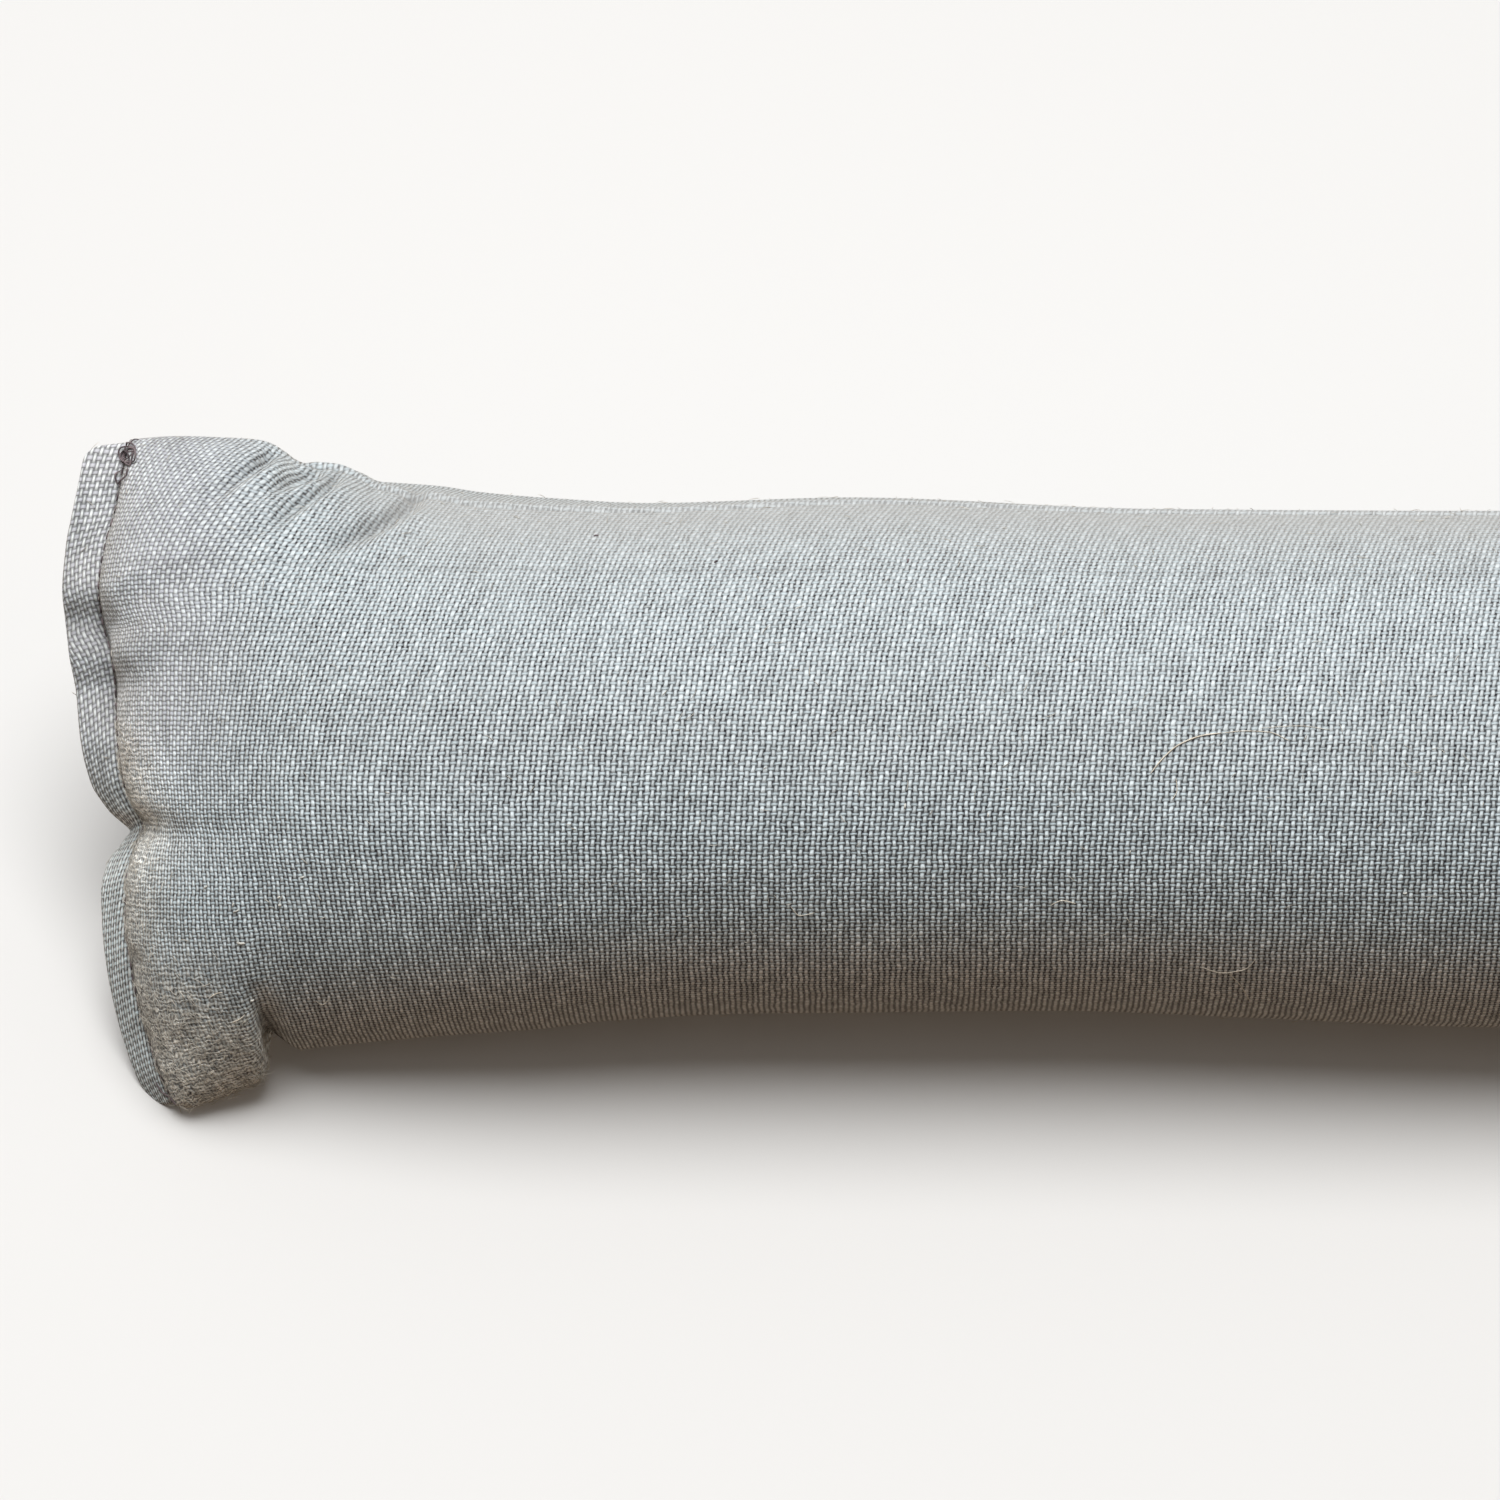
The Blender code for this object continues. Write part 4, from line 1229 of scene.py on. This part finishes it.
def knot_strands(tree):
    """The tangled end of the sewing thread, and the ends that stand off it."""
    centre = []
    for px, py, wide, high, start in KNOT_LOOPS:
        for turn in np.linspace(start, start + 5.4, 12):
            lift = 0.0003 + 0.0007 * (0.5 + 0.5 * math.sin(2.0 * turn + start))
            point = on_cloth(tree, px + wide * math.cos(turn), py + high * math.sin(turn), lift)
            if point is not None:
                centre.append(point)
    strands = [(smooth_line(centre, 220), STITCH_RADIUS)]
    strands += [(laid_thread(tree, *end), radius) for *end, radius in THREAD_ENDS]
    return strands


# Curved fibres caught in the cloth: pixels of the photograph, and how thick each is
LINT = [
    ([(1150, 774), (1163, 758), (1180, 744), (1205, 735), (1222, 733)], 0.00013),
    ([(1222, 733), (1245, 731), (1268, 732), (1290, 741)], 0.00007),
    ([(1172, 800), (1177, 790), (1176, 778)], 0.00008),
    ([(1200, 966), (1222, 972), (1246, 968), (1256, 958)], 0.00009),
    ([(1228, 972), (1240, 984), (1250, 1000)], 0.00009),
    ([(1260, 728), (1300, 726), (1330, 730)], 0.00005),
    ([(1050, 905), (1062, 900), (1076, 903)], 0.00007),
    ([(790, 905), (800, 915), (815, 912)], 0.00006),
    ([(330, 998), (322, 1004), (316, 1000)], 0.00007),
    ([(209, 998), (217, 993), (223, 992)], 0.00009),
    ([(232, 1022), (239, 1019), (245, 1014)], 0.00010),
]
LINT_LIFT = 0.0002
LINT_POINTS = 30

# Thick places of the yarn and dark bits in it: pixel, half length, thickness and turn
SLUBS = [
    (236.0, 911.0, 3.0, 0.9, 0.4), (233.0, 905.0, 2.0, 0.8, 1.2), (241.0, 943.0, 4.4, 1.3, -0.1),
    (280.0, 905.0, 1.6, 1.2, 0.0), (279.0, 897.0, 1.5, 1.0, 0.5), (905.0, 806.0, 2.6, 1.3, 1.4),
    (302.0, 877.0, 2.2, 1.0, 0.2), (988.0, 815.0, 2.0, 0.8, 1.5), (700.0, 822.0, 2.0, 0.8, 1.5),
    (1405.0, 893.0, 2.2, 0.9, 0.1), (640.0, 880.0, 2.0, 0.8, 0.2), (1130.0, 852.0, 1.8, 0.8, 1.4),
    (206.0, 887.0, 1.8, 1.0, 0.9), (252.0, 1000.0, 1.8, 1.0, 0.4), (560.0, 905.0, 1.8, 0.8, 0.1),
]
SPECKS = [
    (908.0, 561.0, 2.2, 1.1, 1.3), (716.0, 562.0, 2.0, 1.0, 0.4), (596.0, 536.0, 2.6, 0.9, 0.1),
    (393.0, 905.0, 1.6, 0.9, 0.7), (1012.0, 640.0, 1.5, 0.8, 1.1),
]


def short_strands(tree, places):
    """Short thick places of the yarn, or short bits caught in it."""
    strands = []
    for px, py, length, thick, turn in places:
        ends = [
            (px - length * math.cos(turn), py + length * math.sin(turn)),
            (px, py),
            (px + length * math.cos(turn), py - length * math.sin(turn)),
        ]
        strands.append((laid_thread(tree, ends, [0.0, 0.00022, 0.0], 9), thick * STITCH_RADIUS))
    return strands


# Fuzz: how many fibres stand on the rubbed places and on all the cloth, and how long and thin
FUZZ_WORN = 3600
FUZZ_ALL = 2600
FUZZ_WORN_LENGTH = 0.0030
FUZZ_ALL_LENGTH = 0.0024
FUZZ_THIN = 0.000035
FUZZ_THICK = 0.000085
FUZZ_LOWEST = 0.003


def fuzz_strands(grid, placed, normals, rng):
    """Fine short fibres that stand off the rubbed places and, fewer, off all the cloth."""
    worn = worn_share(grid)
    strands = []
    rows, columns = np.meshgrid(np.arange(len(grid)), np.arange(RING_SIZE), indexing="ij")
    edge = np.linalg.norm(placed - np.roll(placed, -1, axis=1), axis=2)
    along = np.linalg.norm(np.gradient(placed, axis=0), axis=2)
    area = edge * along
    for weights, count, longest in (
        (area * worn**2, FUZZ_WORN, FUZZ_WORN_LENGTH),
        (area * (placed[..., 2] > 0.004), FUZZ_ALL, FUZZ_ALL_LENGTH),
    ):
        chance = weights.ravel() / weights.sum()
        for pick in rng.choice(weights.size, size=count, p=chance):
            r, c = rows.ravel()[pick], columns.ravel()[pick]
            if placed[r, c, 2] < FUZZ_LOWEST:
                continue
            r = min(max(r, 1), len(grid) - 2)
            shift = rng.uniform(-0.5, 0.5, 2)
            base = placed[r, c] + (placed[r + 1, c] - placed[r - 1, c]) * shift[0]
            base = base + (placed[r, (c + 1) % RING_SIZE] - placed[r, c]) * shift[1]
            normal = normals[r, c]
            turn = rng.normal(size=3)
            flat = turn - normal * turn.dot(normal)
            flat /= max(np.linalg.norm(flat), 1e-9)
            bend = np.cross(normal, flat) * rng.uniform(-0.6, 0.6)
            length = longest * rng.uniform(0.3, 1.0)
            lift = rng.uniform(0.10, 0.55)
            t = np.linspace(0.0, 1.0, 5)[:, None]
            centre = base + length * (flat * t + bend * t**2 + normal * lift * (t - 0.55 * t**2))
            strands.append((centre + normal * 0.0001, rng.uniform(FUZZ_THIN, FUZZ_THICK)))
    return strands


make_camera()
make_light()
make_key_light()
make_floor()
tube, grid, placed = make_tube()
tube.data.materials.append(cloth_material())
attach(tube, "root")
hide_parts("filled_tube")

rng = np.random.default_rng(7)
normals = grid_normals(placed)
tree = BVHTree.FromPolygons(placed.reshape(-1, 3).tolist(), loft_faces(len(grid)))
lint = [(laid_thread(tree, p, [LINT_LIFT] * len(p), LINT_POINTS), r) for p, r in LINT]
yarns = {name: yarn_material(name, *looks) for name, looks in YARNS.items()}
for name, strands, sides, yarn in (
    ("end_stitches", stitch_strands(placed, normals, rng), 6, "taupe_thread"),
    ("thread_knot", knot_strands(tree), 6, "taupe_thread"),
    ("lint", lint, 5, "straw_fibre"),
    ("slubs", short_strands(tree, SLUBS), 8, "pale_slub"),
    ("specks", short_strands(tree, SPECKS), 6, "taupe_thread"),
    ("fuzz", fuzz_strands(grid, placed, normals, rng), 3, "soft_fuzz"),
):
    dress(joined(name, strands, sides), yarns[yarn])
